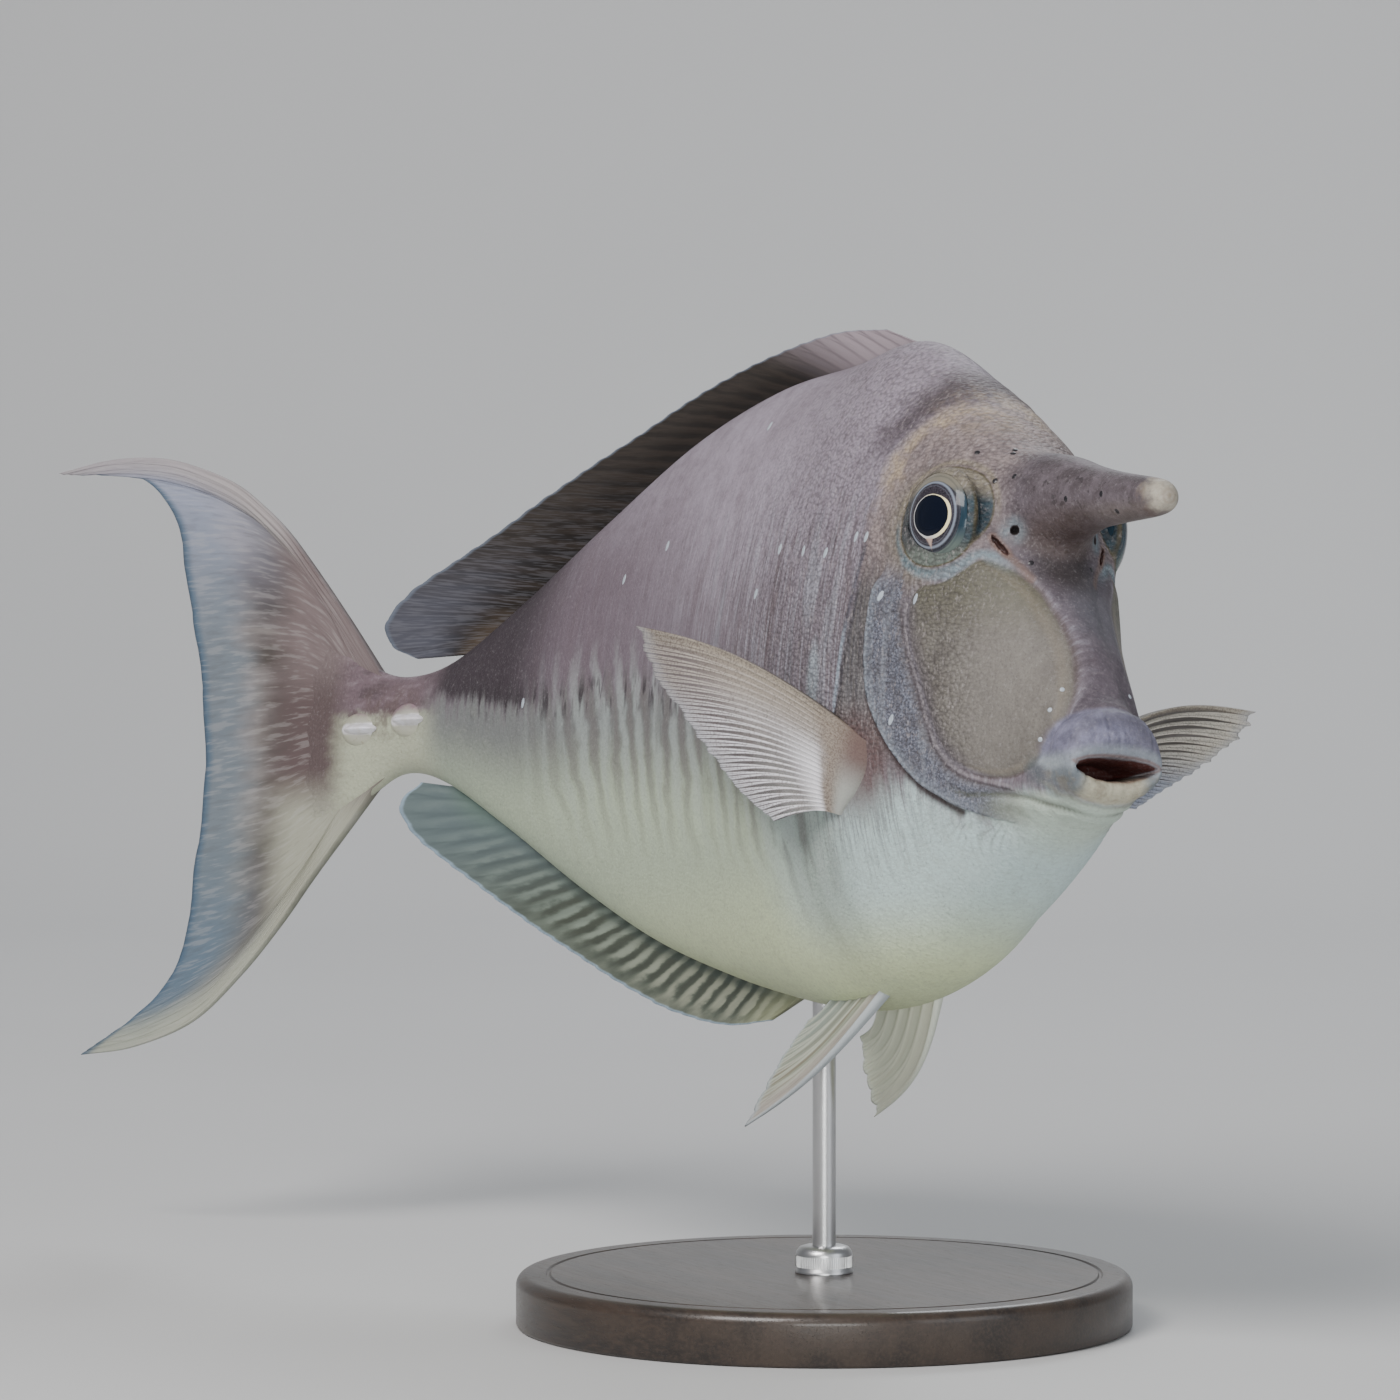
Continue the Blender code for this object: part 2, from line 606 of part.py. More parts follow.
def caudal_fin(material):
    """The tail fin: a patch between its root, its two leading edges and its trailing edge."""
    shares, ridge = ray_columns(CAUDAL_RAYS)
    rows = np.linspace(0, 1, CAUDAL_ROWS)
    upper, lower = along(CAUDAL_UPPER, rows), along(CAUDAL_LOWER, rows)
    trailing = along(CAUDAL_TRAILING, shares)
    root = np.stack(
        [np.full(len(shares), CAUDAL_ROOT_X), CAUDAL_ROOT_HEIGHT * (1 - 2 * shares)], axis=1
    )
    u, v = shares[:, None, None], rows[None, :, None]
    patch = (1 - v) * root[:, None] + v * trailing[:, None] + (1 - u) * upper[None] + u * lower[None]
    patch -= (1 - u) * ((1 - v) * root[0] + v * trailing[0]) + u * ((1 - v) * root[-1] + v * trailing[-1])
    grid = np.zeros((len(shares), len(rows), 3))
    grid[..., 0], grid[..., 2] = patch[..., 0], patch[..., 1]
    half = sheet_thickness(ridge, rows, (CAUDAL_ROOT_HALF, CAUDAL_EDGE_HALF))
    return fin_sheet("caudal_fin", grid, half, material)


def paired_fin(name, side, rays, per_ray, roots, tips, bow, halves, rows, material):
    """A fin off the flank or belly. bow is how far the middle of its longest ray is bent from straight."""
    shares, ridge = ray_columns(rays, per_ray)
    root, tip = along(roots, shares), along(tips, shares)
    length = SCALLOP + (1 - SCALLOP) * ridge
    length[0] = length[-1] = 1.0
    rows = np.asarray(rows)
    reach = rows[None, :] * np.where(rows > 0, length[:, None], 1)
    grid = root[:, None] + (tip - root)[:, None] * reach[..., None]
    span = np.linalg.norm(tip - root, axis=1)
    bend = (span / span.max())[:, None] * np.sin(math.pi * np.clip(reach, 0, 1))
    grid += np.array(bow) * bend[..., None]
    grid[..., 1] *= side
    half = sheet_thickness(ridge, rows, halves)
    return fin_sheet(name, grid, half, material)


def build_fins(fin):
    """All seven fins, each trimmed to the skin that it grows from."""
    pectoral_rows = (-0.14, 0.08, 0.38, 0.7, 1.0)
    pelvic_rows = (-0.12, 0.1, 0.4, 0.7, 1.0)
    fins = [
        median_fin("dorsal_fin", DORSAL_RAYS, DORSAL_ROOTS, DORSAL_TIPS, -1, fin),
        median_fin("anal_fin", ANAL_RAYS, ANAL_ROOTS, ANAL_TIPS, 1, fin),
        caudal_fin(fin),
        paired_fin("pectoral_fin_right", -1, PECTORAL_RAYS, 2, PECTORAL_ROOTS, PECTORAL_TIPS,
                   RIGHT_PECTORAL_BOW, PECTORAL_HALF, pectoral_rows, fin),
        paired_fin("pectoral_fin_left", 1, PECTORAL_RAYS, 2, PECTORAL_ROOTS, LEFT_PECTORAL_TIPS,
                   LEFT_PECTORAL_BOW, PECTORAL_HALF, pectoral_rows, fin),
        paired_fin("pelvic_fin_right", -1, PELVIC_RAYS, PELVIC_COLUMNS_PER_RAY, PELVIC_ROOTS,
                   RIGHT_PELVIC_TIPS, RIGHT_PELVIC_BOW, PELVIC_HALF, pelvic_rows, fin),
        paired_fin("pelvic_fin_left", 1, PELVIC_RAYS, PELVIC_COLUMNS_PER_RAY, PELVIC_ROOTS,
                   LEFT_PELVIC_TIPS, LEFT_PELVIC_BOW, PELVIC_HALF, pelvic_rows, fin),
    ]
    for obj in fins:
        boolean(obj, [torso_loft("flesh", GAP)], "DIFFERENCE")
    return fins


def sweep_tail(obj):
    """Turns everything behind SWEEP_START evenly towards the right, keeping lengths along the body."""
    total = STANDARD_LENGTH + SWEEP_START
    bend = SWEEP / total
    for vert in obj.data.vertices:
        x, y, z = vert.co
        if x >= SWEEP_START:
            continue
        run = SWEEP_START - x
        curved = min(run, 1.05 * total)
        angle = bend * curved
        straight = run - curved
        middle_x = SWEEP_START - math.sin(angle) / bend - math.cos(angle) * straight
        middle_y = -(1 - math.cos(angle)) / bend - math.sin(angle) * straight
        vert.co = (middle_x - math.sin(angle) * y, middle_y + math.cos(angle) * y, z)


def fish_pose():
    """An empty that holds the fish nose up and banked, with its belly on top of the rod."""
    belly = Vector((ROD_STATION, 0.0, float(belly_height())))
    turn = Euler((BANK, -PITCH, 0.0)).to_matrix()
    empty = bpy.data.objects.new("fish_pose", None)
    bpy.context.scene.collection.objects.link(empty)
    empty.rotation_euler = (BANK, -PITCH, 0.0)
    empty.location = Vector((0.0, 0.0, BASE_THICKNESS + ROD_LENGTH)) - turn @ belly
    return empty


def belly_height():
    """The height of the belly's mid-line above the fish's own axis at the rod."""
    line = np.array([(row[2], row[3]) for row in SECTIONS[:12]])
    return np.interp(ROD_STATION, line[:, 0], line[:, 1])


def turned(name, profile, steps, material):
    """A solid turned about the Z axis from a profile of (radius, height), top to bottom."""
    mesh = bpy.data.meshes.new(name)
    points = [(radius, 0.0, height) for radius, height in profile]
    mesh.from_pydata(points, [(i, i + 1) for i in range(len(points) - 1)], [])
    obj = object_from(name, mesh, material)
    screw = obj.modifiers.new("Screw", "SCREW")
    screw.steps = steps
    screw.render_steps = steps
    screw.use_merge_vertices = True
    screw.merge_threshold = 0.00005
    return obj


def base_profile():
    """From the middle of the top, over a quarter-round edge, to the middle of the flat underside."""
    edge = [
        (BASE_RADIUS - BASE_EDGE + BASE_EDGE * math.sin(angle),
         BASE_THICKNESS - BASE_EDGE + BASE_EDGE * math.cos(angle))
        for angle in np.linspace(0, math.pi / 2, 5)
    ]
    return [(0.0, BASE_THICKNESS), *edge, (BASE_RADIUS, 0.001), (BASE_RADIUS - 0.001, 0.0), (0.0, 0.0)]


def build_stand(wood, steel, empty):
    """The round base, the collar on it and the rod up to the belly."""
    turned("stand_base", base_profile(), BASE_STEPS, wood)
    low = BASE_THICKNESS + GAP
    bore = ROD_RADIUS + GAP
    collar = [
        (bore, low + COLLAR_HEIGHT), (COLLAR_RADIUS - 0.003, low + COLLAR_HEIGHT),
        (COLLAR_RADIUS - 0.001, low + COLLAR_HEIGHT - 0.002), (COLLAR_RADIUS, low + 0.002),
        (COLLAR_RADIUS, low), (bore, low), (bore, low + COLLAR_HEIGHT),
    ]
    turned("stand_collar", collar, COLLAR_STEPS, steel)
    reach = ROD_LENGTH + 0.010
    place = Matrix.Translation((0, 0, low + reach / 2))
    rod = cylinder("stand_rod", ROD_RADIUS, reach, place, 24, steel)
    flesh = torso_loft("flesh", GAP)
    sweep_tail(flesh)
    flesh.parent = empty
    bpy.context.view_layer.update()
    boolean(rod, [flesh], "DIFFERENCE")
    return rod


def main():
    clear_scene()
    skin = make_material("skin", SKIN)
    belly = make_material("belly_skin", BELLY)
    fin = make_material("fin", FIN)
    eye_material = make_material("eye", EYE)
    wood = make_material("black_wood", BLACK_WOOD)
    steel = make_material("steel", STEEL)
    head, horn = build_head_and_horn(skin)
    torso = build_torso(belly)
    stalk = build_tail_stalk(skin)
    eyes = [eye(1, "eye_left", eye_material), eye(-1, "eye_right", eye_material)]
    fish = [head, horn, torso, stalk, *eyes, *build_fins(fin)]
    empty = fish_pose()
    for obj in fish:
        sweep_tail(obj)
        obj.parent = empty
    build_stand(wood, steel, empty)
    part = bpy.data.collections.new("humpback_unicornfish")
    bpy.context.scene.collection.children.link(part)
    for obj in list(bpy.context.scene.collection.objects):
        bpy.context.scene.collection.objects.unlink(obj)
        part.objects.link(obj)
        if obj.type == "MESH":
            obj.data.shade_smooth()
            obj.data.set_sharp_from_angle(angle=math.radians(45))


main()
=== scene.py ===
"""Looks for the life-size humpback unicornfish on its display stand.

The fish is modelled straight, head towards +X, as in the CAD source, and Pose then sweeps its tail,
banks it and sets it on the rod. One skin stands for head, horn, torso and tail stalk.
"""

import json
import logging
import math
from dataclasses import dataclass
from enum import Enum
from typing import Callable, Sequence

import bmesh
import bpy
import numpy as np
from mathutils import Euler, Matrix, Vector
from mathutils.bvhtree import BVHTree

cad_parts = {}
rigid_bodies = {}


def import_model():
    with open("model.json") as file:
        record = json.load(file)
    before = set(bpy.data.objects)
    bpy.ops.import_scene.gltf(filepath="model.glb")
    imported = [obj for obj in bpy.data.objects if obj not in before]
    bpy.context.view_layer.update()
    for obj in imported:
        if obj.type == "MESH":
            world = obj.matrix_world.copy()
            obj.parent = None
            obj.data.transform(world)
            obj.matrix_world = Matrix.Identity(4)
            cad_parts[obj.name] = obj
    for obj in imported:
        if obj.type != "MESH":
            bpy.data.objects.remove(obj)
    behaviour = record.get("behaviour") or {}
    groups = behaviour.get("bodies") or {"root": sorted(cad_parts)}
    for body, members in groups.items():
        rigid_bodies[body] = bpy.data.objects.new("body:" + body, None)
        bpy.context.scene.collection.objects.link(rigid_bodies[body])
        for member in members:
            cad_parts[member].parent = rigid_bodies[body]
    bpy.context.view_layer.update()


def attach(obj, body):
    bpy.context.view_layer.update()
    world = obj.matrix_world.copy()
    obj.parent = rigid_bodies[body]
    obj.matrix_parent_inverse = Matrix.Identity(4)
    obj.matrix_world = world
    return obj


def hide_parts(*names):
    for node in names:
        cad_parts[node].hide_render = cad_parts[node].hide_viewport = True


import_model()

log = logging.getLogger("unicornfish")

# From lip to tail-fin root, in metres
STANDARD_LENGTH = 0.45

Points = Sequence[Sequence[float]]
Colour = tuple[float, float, float]
Object, Material = bpy.types.Object, bpy.types.Material
Node, NodeSocket = bpy.types.Node, bpy.types.NodeSocket


class Side(Enum):
    """The fish's own sides, as the sign of their distance from its mid-plane."""

    LEFT = 1
    RIGHT = -1


class Slot(Enum):
    """The record's material slots."""

    SKIN = "skin"
    EYE = "eye"
    FIN = "fin"
    WOOD = "stand_wood"
    STEEL = "stand_steel"


# Curves


def spline(points: Points, at: np.ndarray) -> np.ndarray:
    """Points on a Catmull-Rom curve.

    Args:
        points: the curve's points, numbered from 0.
        at: where to read it, from 0 to the last number.

    Returns:
        One row for each value of at.
    """
    rows = np.asarray(points, float)
    at = np.clip(np.asarray(at, float), 0, len(rows) - 1)
    index = np.minimum(at.astype(int), len(rows) - 2)
    t = (at - index)[..., None]
    padded = np.vstack([2 * rows[0] - rows[1], rows, 2 * rows[-1] - rows[-2]])
    a, b, c, d = padded[index], padded[index + 1], padded[index + 2], padded[index + 3]
    cubic = (2 * a - 5 * b + 4 * c - d) * t**2 + (3 * b - a - 3 * c + d) * t**3
    return 0.5 * (2 * b + (c - a) * t + cubic)


def along(points: Points, shares: np.ndarray) -> np.ndarray:
    """Points at these shares of a curve's length.

    Args:
        points: the curve's points.
        shares: from 0 at its start to 1 at its end.

    Returns:
        One row for each share.
    """
    fine = np.linspace(0, len(points) - 1, 40 * len(points))
    curve = spline(points, fine)
    run = np.concatenate([[0], np.cumsum(np.linalg.norm(np.diff(curve, axis=0), axis=1))])
    return spline(points, np.interp(np.asarray(shares) * run[-1], run, fine))


def drawn(points: Points, count: int) -> np.ndarray:
    """Evenly spaced points of a curve, this many."""
    return along(points, np.linspace(0, 1, count))


def smoothstep(low: float, high: float, value: np.ndarray) -> np.ndarray:
    """0 below low, 1 above high and an S curve between; low may be the larger."""
    t = np.clip((value - low) / (high - low), 0, 1)
    return t * t * (3 - 2 * t)


def bell(value: np.ndarray, middle: float, width: float) -> np.ndarray:
    """A bell curve: 1 at middle, near 0 at twice its width from there."""
    return np.exp(-(((value - middle) / width) ** 2))


def line_distance(points: np.ndarray, line: np.ndarray) -> tuple[np.ndarray, np.ndarray]:
    """How far points lie from an open line, in side view.

    Args:
        points: (x, z) rows.
        line: (x, z) rows of the line.

    Returns:
        The distances, positive on the right of the line's direction, and the share of the line's
        segments at which each nearest point lies.
    """
    best = np.full(len(points), np.inf)
    sign = np.ones(len(points))
    share_of_line = np.zeros(len(points))
    for number, (a, b) in enumerate(zip(line, line[1:])):
        run = b - a
        share = np.clip((points - a) @ run / max(run @ run, 1e-12), 0, 1)
        offset = points - a - share[:, None] * run
        distance = np.linalg.norm(offset, axis=1)
        nearer = distance < best
        best[nearer] = distance[nearer]
        cross = run[1] * (points[:, 0] - a[0]) - run[0] * (points[:, 1] - a[1])
        sign[nearer] = np.sign(cross[nearer])
        share_of_line[nearer] = (number + share[nearer]) / (len(line) - 1)
    return best * np.where(sign == 0, 1, sign), share_of_line


def outline_distance(points: np.ndarray, outline: np.ndarray) -> np.ndarray:
    """How far inside a closed outline points lie, in side view; negative outside it.

    Args:
        points: (x, z) rows.
        outline: (x, z) rows of the closed outline.

    Returns:
        The distances.
    """
    loop = np.vstack([outline, outline[:1]])
    distance = np.abs(line_distance(points, loop)[0])
    inside = np.zeros(len(points), bool)
    for a, b in zip(loop, loop[1:]):
        crosses = (a[1] > points[:, 1]) != (b[1] > points[:, 1])
        height = np.where(abs(b[1] - a[1]) > 1e-12, b[1] - a[1], 1e-12)
        at = a[0] + (points[:, 1] - a[1]) / height * (b[0] - a[0])
        inside ^= crosses & (points[:, 0] < at)
    return np.where(inside, distance, -distance)


class Ripple:
    """Smooth seeded noise in one to three dimensions, for relief in the mesh."""

    def __init__(self, seed: int, terms: int = 24) -> None:
        """Draws the waves that are added up.

        Args:
            seed: the random seed.
            terms: how many waves.
        """
        rng = np.random.default_rng(seed)
        self.waves = rng.normal(size=(terms, 3))
        self.waves /= np.linalg.norm(self.waves, axis=1, keepdims=True)
        self.waves *= rng.uniform(0.6, 1.5, (terms, 1))
        self.phases = rng.uniform(0, 2 * math.pi, terms)

    def __call__(self, points: np.ndarray, wavelength: Sequence[float]) -> np.ndarray:
        """Reads the noise, of about -1 to 1, at points; wavelength is its size along each axis.

        Args:
            points: rows of points.
            wavelength: its size along each axis.

        Returns:
            One number for each point.
        """
        scaled = 2 * math.pi * points / np.asarray(wavelength)
        total = np.sin(scaled @ self.waves.T + self.phases).sum(axis=1)
        return total / math.sqrt(len(self.phases))


# Meshes


def mesh_from(name: str, points: np.ndarray, faces: Sequence[Sequence[int]]) -> Object:
    """Makes an object of a mesh and links it.

    Args:
        name: the object's name.
        points: its vertices.
        faces: each face's vertex numbers.

    Returns:
        The new object.
    """
    mesh = bpy.data.meshes.new(name)
    mesh.from_pydata(np.asarray(points).tolist(), [], [tuple(map(int, face)) for face in faces])
    mesh.validate()
    obj = bpy.data.objects.new(name, mesh)
    bpy.context.scene.collection.objects.link(obj)
    return obj


def edges_of(obj: Object) -> np.ndarray:
    """The edges of a mesh object as pairs of vertex numbers.

    Args:
        obj: the mesh object.

    Returns:
        One pair for each edge.
    """
    pairs = np.empty(len(obj.data.edges) * 2, np.int32)
    obj.data.edges.foreach_get("vertices", pairs)
    return pairs.reshape(-1, 2)


def moved(points: np.ndarray, place: Matrix) -> np.ndarray:
    """Points taken through a matrix."""
    rows = np.array(place)
    return points @ rows[:3, :3].T + rows[:3, 3]


def vertices_of(obj: Object) -> np.ndarray:
    """The vertices of a mesh object as rows.

    Args:
        obj: the mesh object.

    Returns:
        One row for each vertex.
    """
    flat = np.empty(len(obj.data.vertices) * 3, np.float32)
    obj.data.vertices.foreach_get("co", flat)
    return flat.reshape(-1, 3).astype(float)


def set_vertices(obj: Object, points: np.ndarray) -> None:
    """Moves the vertices of a mesh object."""
    obj.data.vertices.foreach_set("co", points.astype(np.float32).ravel())
    obj.data.update()


def normals_of(obj: Object) -> np.ndarray:
    """The vertex normals of a mesh object as rows.

    Args:
        obj: the mesh object.

    Returns:
        One row for each vertex.
    """
    flat = np.empty(len(obj.data.vertices) * 3, np.float32)
    obj.data.vertex_normals.foreach_get("vector", flat)
    return flat.reshape(-1, 3).astype(float)


def store(obj: Object, name: str, values: np.ndarray) -> None:
    """Stores a number or a vector for each vertex, for a material to read.

    Args:
        obj: the mesh object.
        name: the attribute's name.
        values: one number or one row for each vertex.
    """
    kind, key = ("FLOAT_VECTOR", "vector") if values.ndim == 2 else ("FLOAT", "value")
    attribute = obj.data.attributes.new(name, kind, "POINT")
    attribute.data.foreach_set(key, values.astype(np.float32).ravel())


def face_outwards(obj: Object) -> None:
    """Turns all faces of a closed mesh outwards.

    Args:
        obj: the closed mesh object.
    """
    shape = bmesh.new()
    shape.from_mesh(obj.data)
    bmesh.ops.recalc_face_normals(shape, faces=shape.faces)
    shape.to_mesh(obj.data)
    shape.free()


def tube_faces(rings: int, sides: int) -> list[tuple[int, ...]]:
    """The faces of a loft of closed rings, with a hub vertex after them at each end.

    Args:
        rings: how many rings.
        sides: how many points in each.

    Returns:
        Each face's vertex numbers.
    """
    faces = []
    for i in range(rings - 1):
        for j in range(sides):
            k = (j + 1) % sides
            faces.append((i * sides + j, i * sides + k, (i + 1) * sides + k, (i + 1) * sides + j))
    first, last = rings * sides, rings * sides + 1
    for j in range(sides):
        k = (j + 1) % sides
        faces.append((first, k, j))
        faces.append((last, (rings - 1) * sides + j, (rings - 1) * sides + k))
    return faces


def loft(name: str, rings: np.ndarray, start: Sequence[float] | None = None,
         end: Sequence[float] | None = None) -> Object:
    """A closed loft.

    Args:
        name: the object's name.
        rings: an array of rings, points and coordinates.
        start: where the first cap's middle lies, if not in its ring.
        end: the same for the last cap.

    Returns:
        The new object.
    """
    count, sides = rings.shape[:2]
    caps = [rings[0].mean(axis=0) if start is None else start, rings[-1].mean(axis=0) if end is None else end]
    obj = mesh_from(name, np.vstack([rings.reshape(-1, 3), caps]), tube_faces(count, sides))
    face_outwards(obj)
    return obj


def turned(name: str, profile: Points, sides: int) -> Object:
    """A solid turned about the Z axis.

    Args:
        name: the object's name.
        profile: (radius, height) pairs from one end of the axis to the other, none on the axis.
        sides: how many steps go round.

    Returns:
        The new object.
    """
    angle = np.linspace(0, 2 * math.pi, sides, endpoint=False)
    rings = np.array([
        np.stack([radius * np.cos(angle), radius * np.sin(angle), np.full(sides, height)], axis=1)
        for radius, height in profile
    ])
    return loft(name, rings)


def prism(name: str, outline: np.ndarray, half_width: float) -> Object:
    """A flat outline in side view, extruded to both sides of the mid-plane.

    Args:
        name: the new object's name.
        outline: (x, z) rows.
        half_width: how far it reaches to each side.

    Returns:
        The new object.
    """
    count = len(outline)
    points = [(x, y, z) for y in (-half_width, half_width) for x, z in outline]
    faces = [tuple(range(count)), tuple(range(2 * count - 1, count - 1, -1))]
    faces += [(i, (i + 1) % count, count + (i + 1) % count, count + i) for i in range(count)]
    obj = mesh_from(name, np.array(points), faces)
    face_outwards(obj)
    return obj


def ellipsoid(name: str, half_sizes: Sequence[float], place: Matrix, sides: int) -> Object:
    """A closed ellipsoid set in place by a matrix.

    Args:
        name: the new object's name.
        half_sizes: half its size along each of its own axes.
        place: where it goes.
        sides: how many steps go round.

    Returns:
        The new object.
    """
    shape = bmesh.new()
    bmesh.ops.create_uvsphere(shape, u_segments=sides, v_segments=sides // 2, radius=1.0)
    bmesh.ops.transform(shape, matrix=place @ Matrix.Diagonal((*half_sizes, 1.0)), verts=shape.verts)
    bmesh.ops.recalc_face_normals(shape, faces=shape.faces)
    mesh = bpy.data.meshes.new(name)
    shape.to_mesh(mesh)
    shape.free()
    obj = bpy.data.objects.new(name, mesh)
    bpy.context.scene.collection.objects.link(obj)
    return obj


def combine(obj: Object, others: Sequence[Object], operation: str) -> None:
    """Applies one Boolean of obj with other closed meshes, which are then removed.

    Args:
        obj: the mesh that is changed.
        others: the meshes that are joined to it or cut from it.
        operation: UNION, DIFFERENCE or INTERSECT.
    """
    group = bpy.data.collections.new("joined")
    bpy.context.scene.collection.children.link(group)
    for other in others:
        group.objects.link(other)
    modifier = obj.modifiers.new("Boolean", "BOOLEAN")
    modifier.operand_type = "COLLECTION"
    modifier.collection = group
    modifier.operation = operation
    modifier.solver = "MANIFOLD"
    bpy.context.view_layer.objects.active = obj
    bpy.ops.object.modifier_apply(modifier=modifier.name)
    for other in others:
        bpy.data.objects.remove(other)
    bpy.data.collections.remove(group)


def keep_largest(obj: Object) -> None:
    """Drops every loose piece of a mesh but the one with the most points.

    Args:
        obj: the mesh object.
    """
    pairs = edges_of(obj)
    label = np.arange(len(obj.data.vertices))
    while True:
        low = np.minimum(label[pairs[:, 0]], label[pairs[:, 1]])
        before = label.copy()
        np.minimum.at(label, pairs[:, 0], low)
        np.minimum.at(label, pairs[:, 1], low)
        label = label[label]
        if np.array_equal(before, label):
            break
    names, counts = np.unique(label, return_counts=True)
    if len(names) == 1:
        return
    spare = set(np.flatnonzero(label != names[counts.argmax()]).tolist())
    shape = bmesh.new()
    shape.from_mesh(obj.data)
    bmesh.ops.delete(shape, geom=[v for v in shape.verts if v.index in spare], context="VERTS")
    shape.to_mesh(obj.data)
    shape.free()


def surface_tree(obj: Object) -> BVHTree:
    """A search tree of a mesh's surface.

    Args:
        obj: the mesh object.

    Returns:
        The tree.
    """
    shape = bmesh.new()
    shape.from_mesh(obj.data)
    tree = BVHTree.FromBMesh(shape)
    shape.free()
    return tree


def relax(obj: Object, weights: np.ndarray, rounds: int) -> None:
    """Smooths a mesh where weights are above 0.

    Args:
        obj: the mesh object.
        weights: how strongly each vertex follows its neighbours, from 0 to 1.
        rounds: how many times.
    """
    pairs = edges_of(obj)
    chosen = (weights[pairs[:, 0]] > 0) | (weights[pairs[:, 1]] > 0)
    a, b = pairs[chosen].T
    points = vertices_of(obj)
    count = np.bincount(a, minlength=len(points)) + np.bincount(b, minlength=len(points))
    factor = (0.5 * weights)[:, None]
    for _ in range(rounds):
        total = np.zeros_like(points)
        for axis in range(3):
            for one, other in ((a, b), (b, a)):
                total[:, axis] += np.bincount(one, points[other, axis], len(points))
        mean = total / np.maximum(count, 1)[:, None]
        points += factor * (mean - points) * (count > 0)[:, None]
    set_vertices(obj, points)


# Shading


class Value:
    """A number in a material's node tree, with Python's operators."""

    def __init__(self, paint: "Paint", socket: NodeSocket) -> None:
        """Wraps an output socket of the material that paint builds."""
        self.paint = paint
        self.socket = socket

    def _math(self, operation: str, *values: "Value | float") -> "Value":
        """Adds a Math node."""
        node = self.paint.node("ShaderNodeMath", {"operation": operation}, dict(enumerate(values)))
        return Value(self.paint, node.outputs[0])

    def __add__(self, other: "Value | float") -> "Value":
        """Sum."""
        return self._math("ADD", self, other)

    __radd__ = __add__

    def __sub__(self, other: "Value | float") -> "Value":
        """Difference."""
        return self._math("SUBTRACT", self, other)

    def __rsub__(self, other: "Value | float") -> "Value":
        """Difference, reflected."""
        return self._math("SUBTRACT", other, self)

    def __mul__(self, other: "Value | float") -> "Value":
        """Product."""
        return self._math("MULTIPLY", self, other)

    __rmul__ = __mul__

    def sine(self) -> "Value":
        """Its sine."""
        return self._math("SINE", self)

    def absolute(self) -> "Value":
        """Its absolute value."""
        return self._math("ABSOLUTE", self)

    def most(self, other: "Value | float") -> "Value":
        """The larger of two."""
        return self._math("MAXIMUM", self, other)

    def step(self, low: float, high: float) -> "Value":
        """0 below low, 1 above high and an S curve between; low may be the larger.

        Args:
            low: where it is 0.
            high: where it is 1.

        Returns:
            The new value.
        """
        if low > high:
            return 1 - self.step(high, low)
        node = self.paint.node(
            "ShaderNodeMapRange",
            {"interpolation_type": "SMOOTHSTEP"},
            {"Value": self, "From Min": low, "From Max": high},
        )
        return Value(self.paint, node.outputs["Result"])

    def band(self, middle: float, half: float) -> "Value":
        """1 at middle, falling to 0 at half to both sides of it."""
        return (self - middle).absolute().step(half, 0.0)


class Graph:
    """Adds nodes to a node tree."""

    def __init__(self, tree: bpy.types.NodeTree) -> None:
        """Takes the tree that is filled."""
        self.tree = tree
        self.column = 0

    def node(self, kind: str, settings: dict[str, object], inputs: dict[object, object]) -> Node:
        """Adds a node.

        Args:
            kind: its type name.
            settings: its properties, set first.
            inputs: its sockets by name or number, each with a value or a link.

        Returns:
            The node.
        """
        made = self.tree.nodes.new(kind)
        self.column += 1
        made.location = (-200 * (self.column % 12) - 300, -120 * (self.column // 12))
        for key, value in settings.items():
            setattr(made, key, value)
        for key, value in inputs.items():
            self.feed(made.inputs[key], value)
        return made

    def feed(self, socket: NodeSocket, value: object) -> None:
        """Links or sets one input socket.

        Args:
            socket: the input.
            value: a link, a number, a colour or a vector.
        """
        if isinstance(value, Value):
            self.tree.links.new(value.socket, socket)
        elif isinstance(value, NodeSocket):
            self.tree.links.new(value, socket)
        elif isinstance(value, tuple) and len(value) == 3 and socket.type == "RGBA":
            socket.default_value = (*value, 1.0)
        else:
            socket.default_value = value


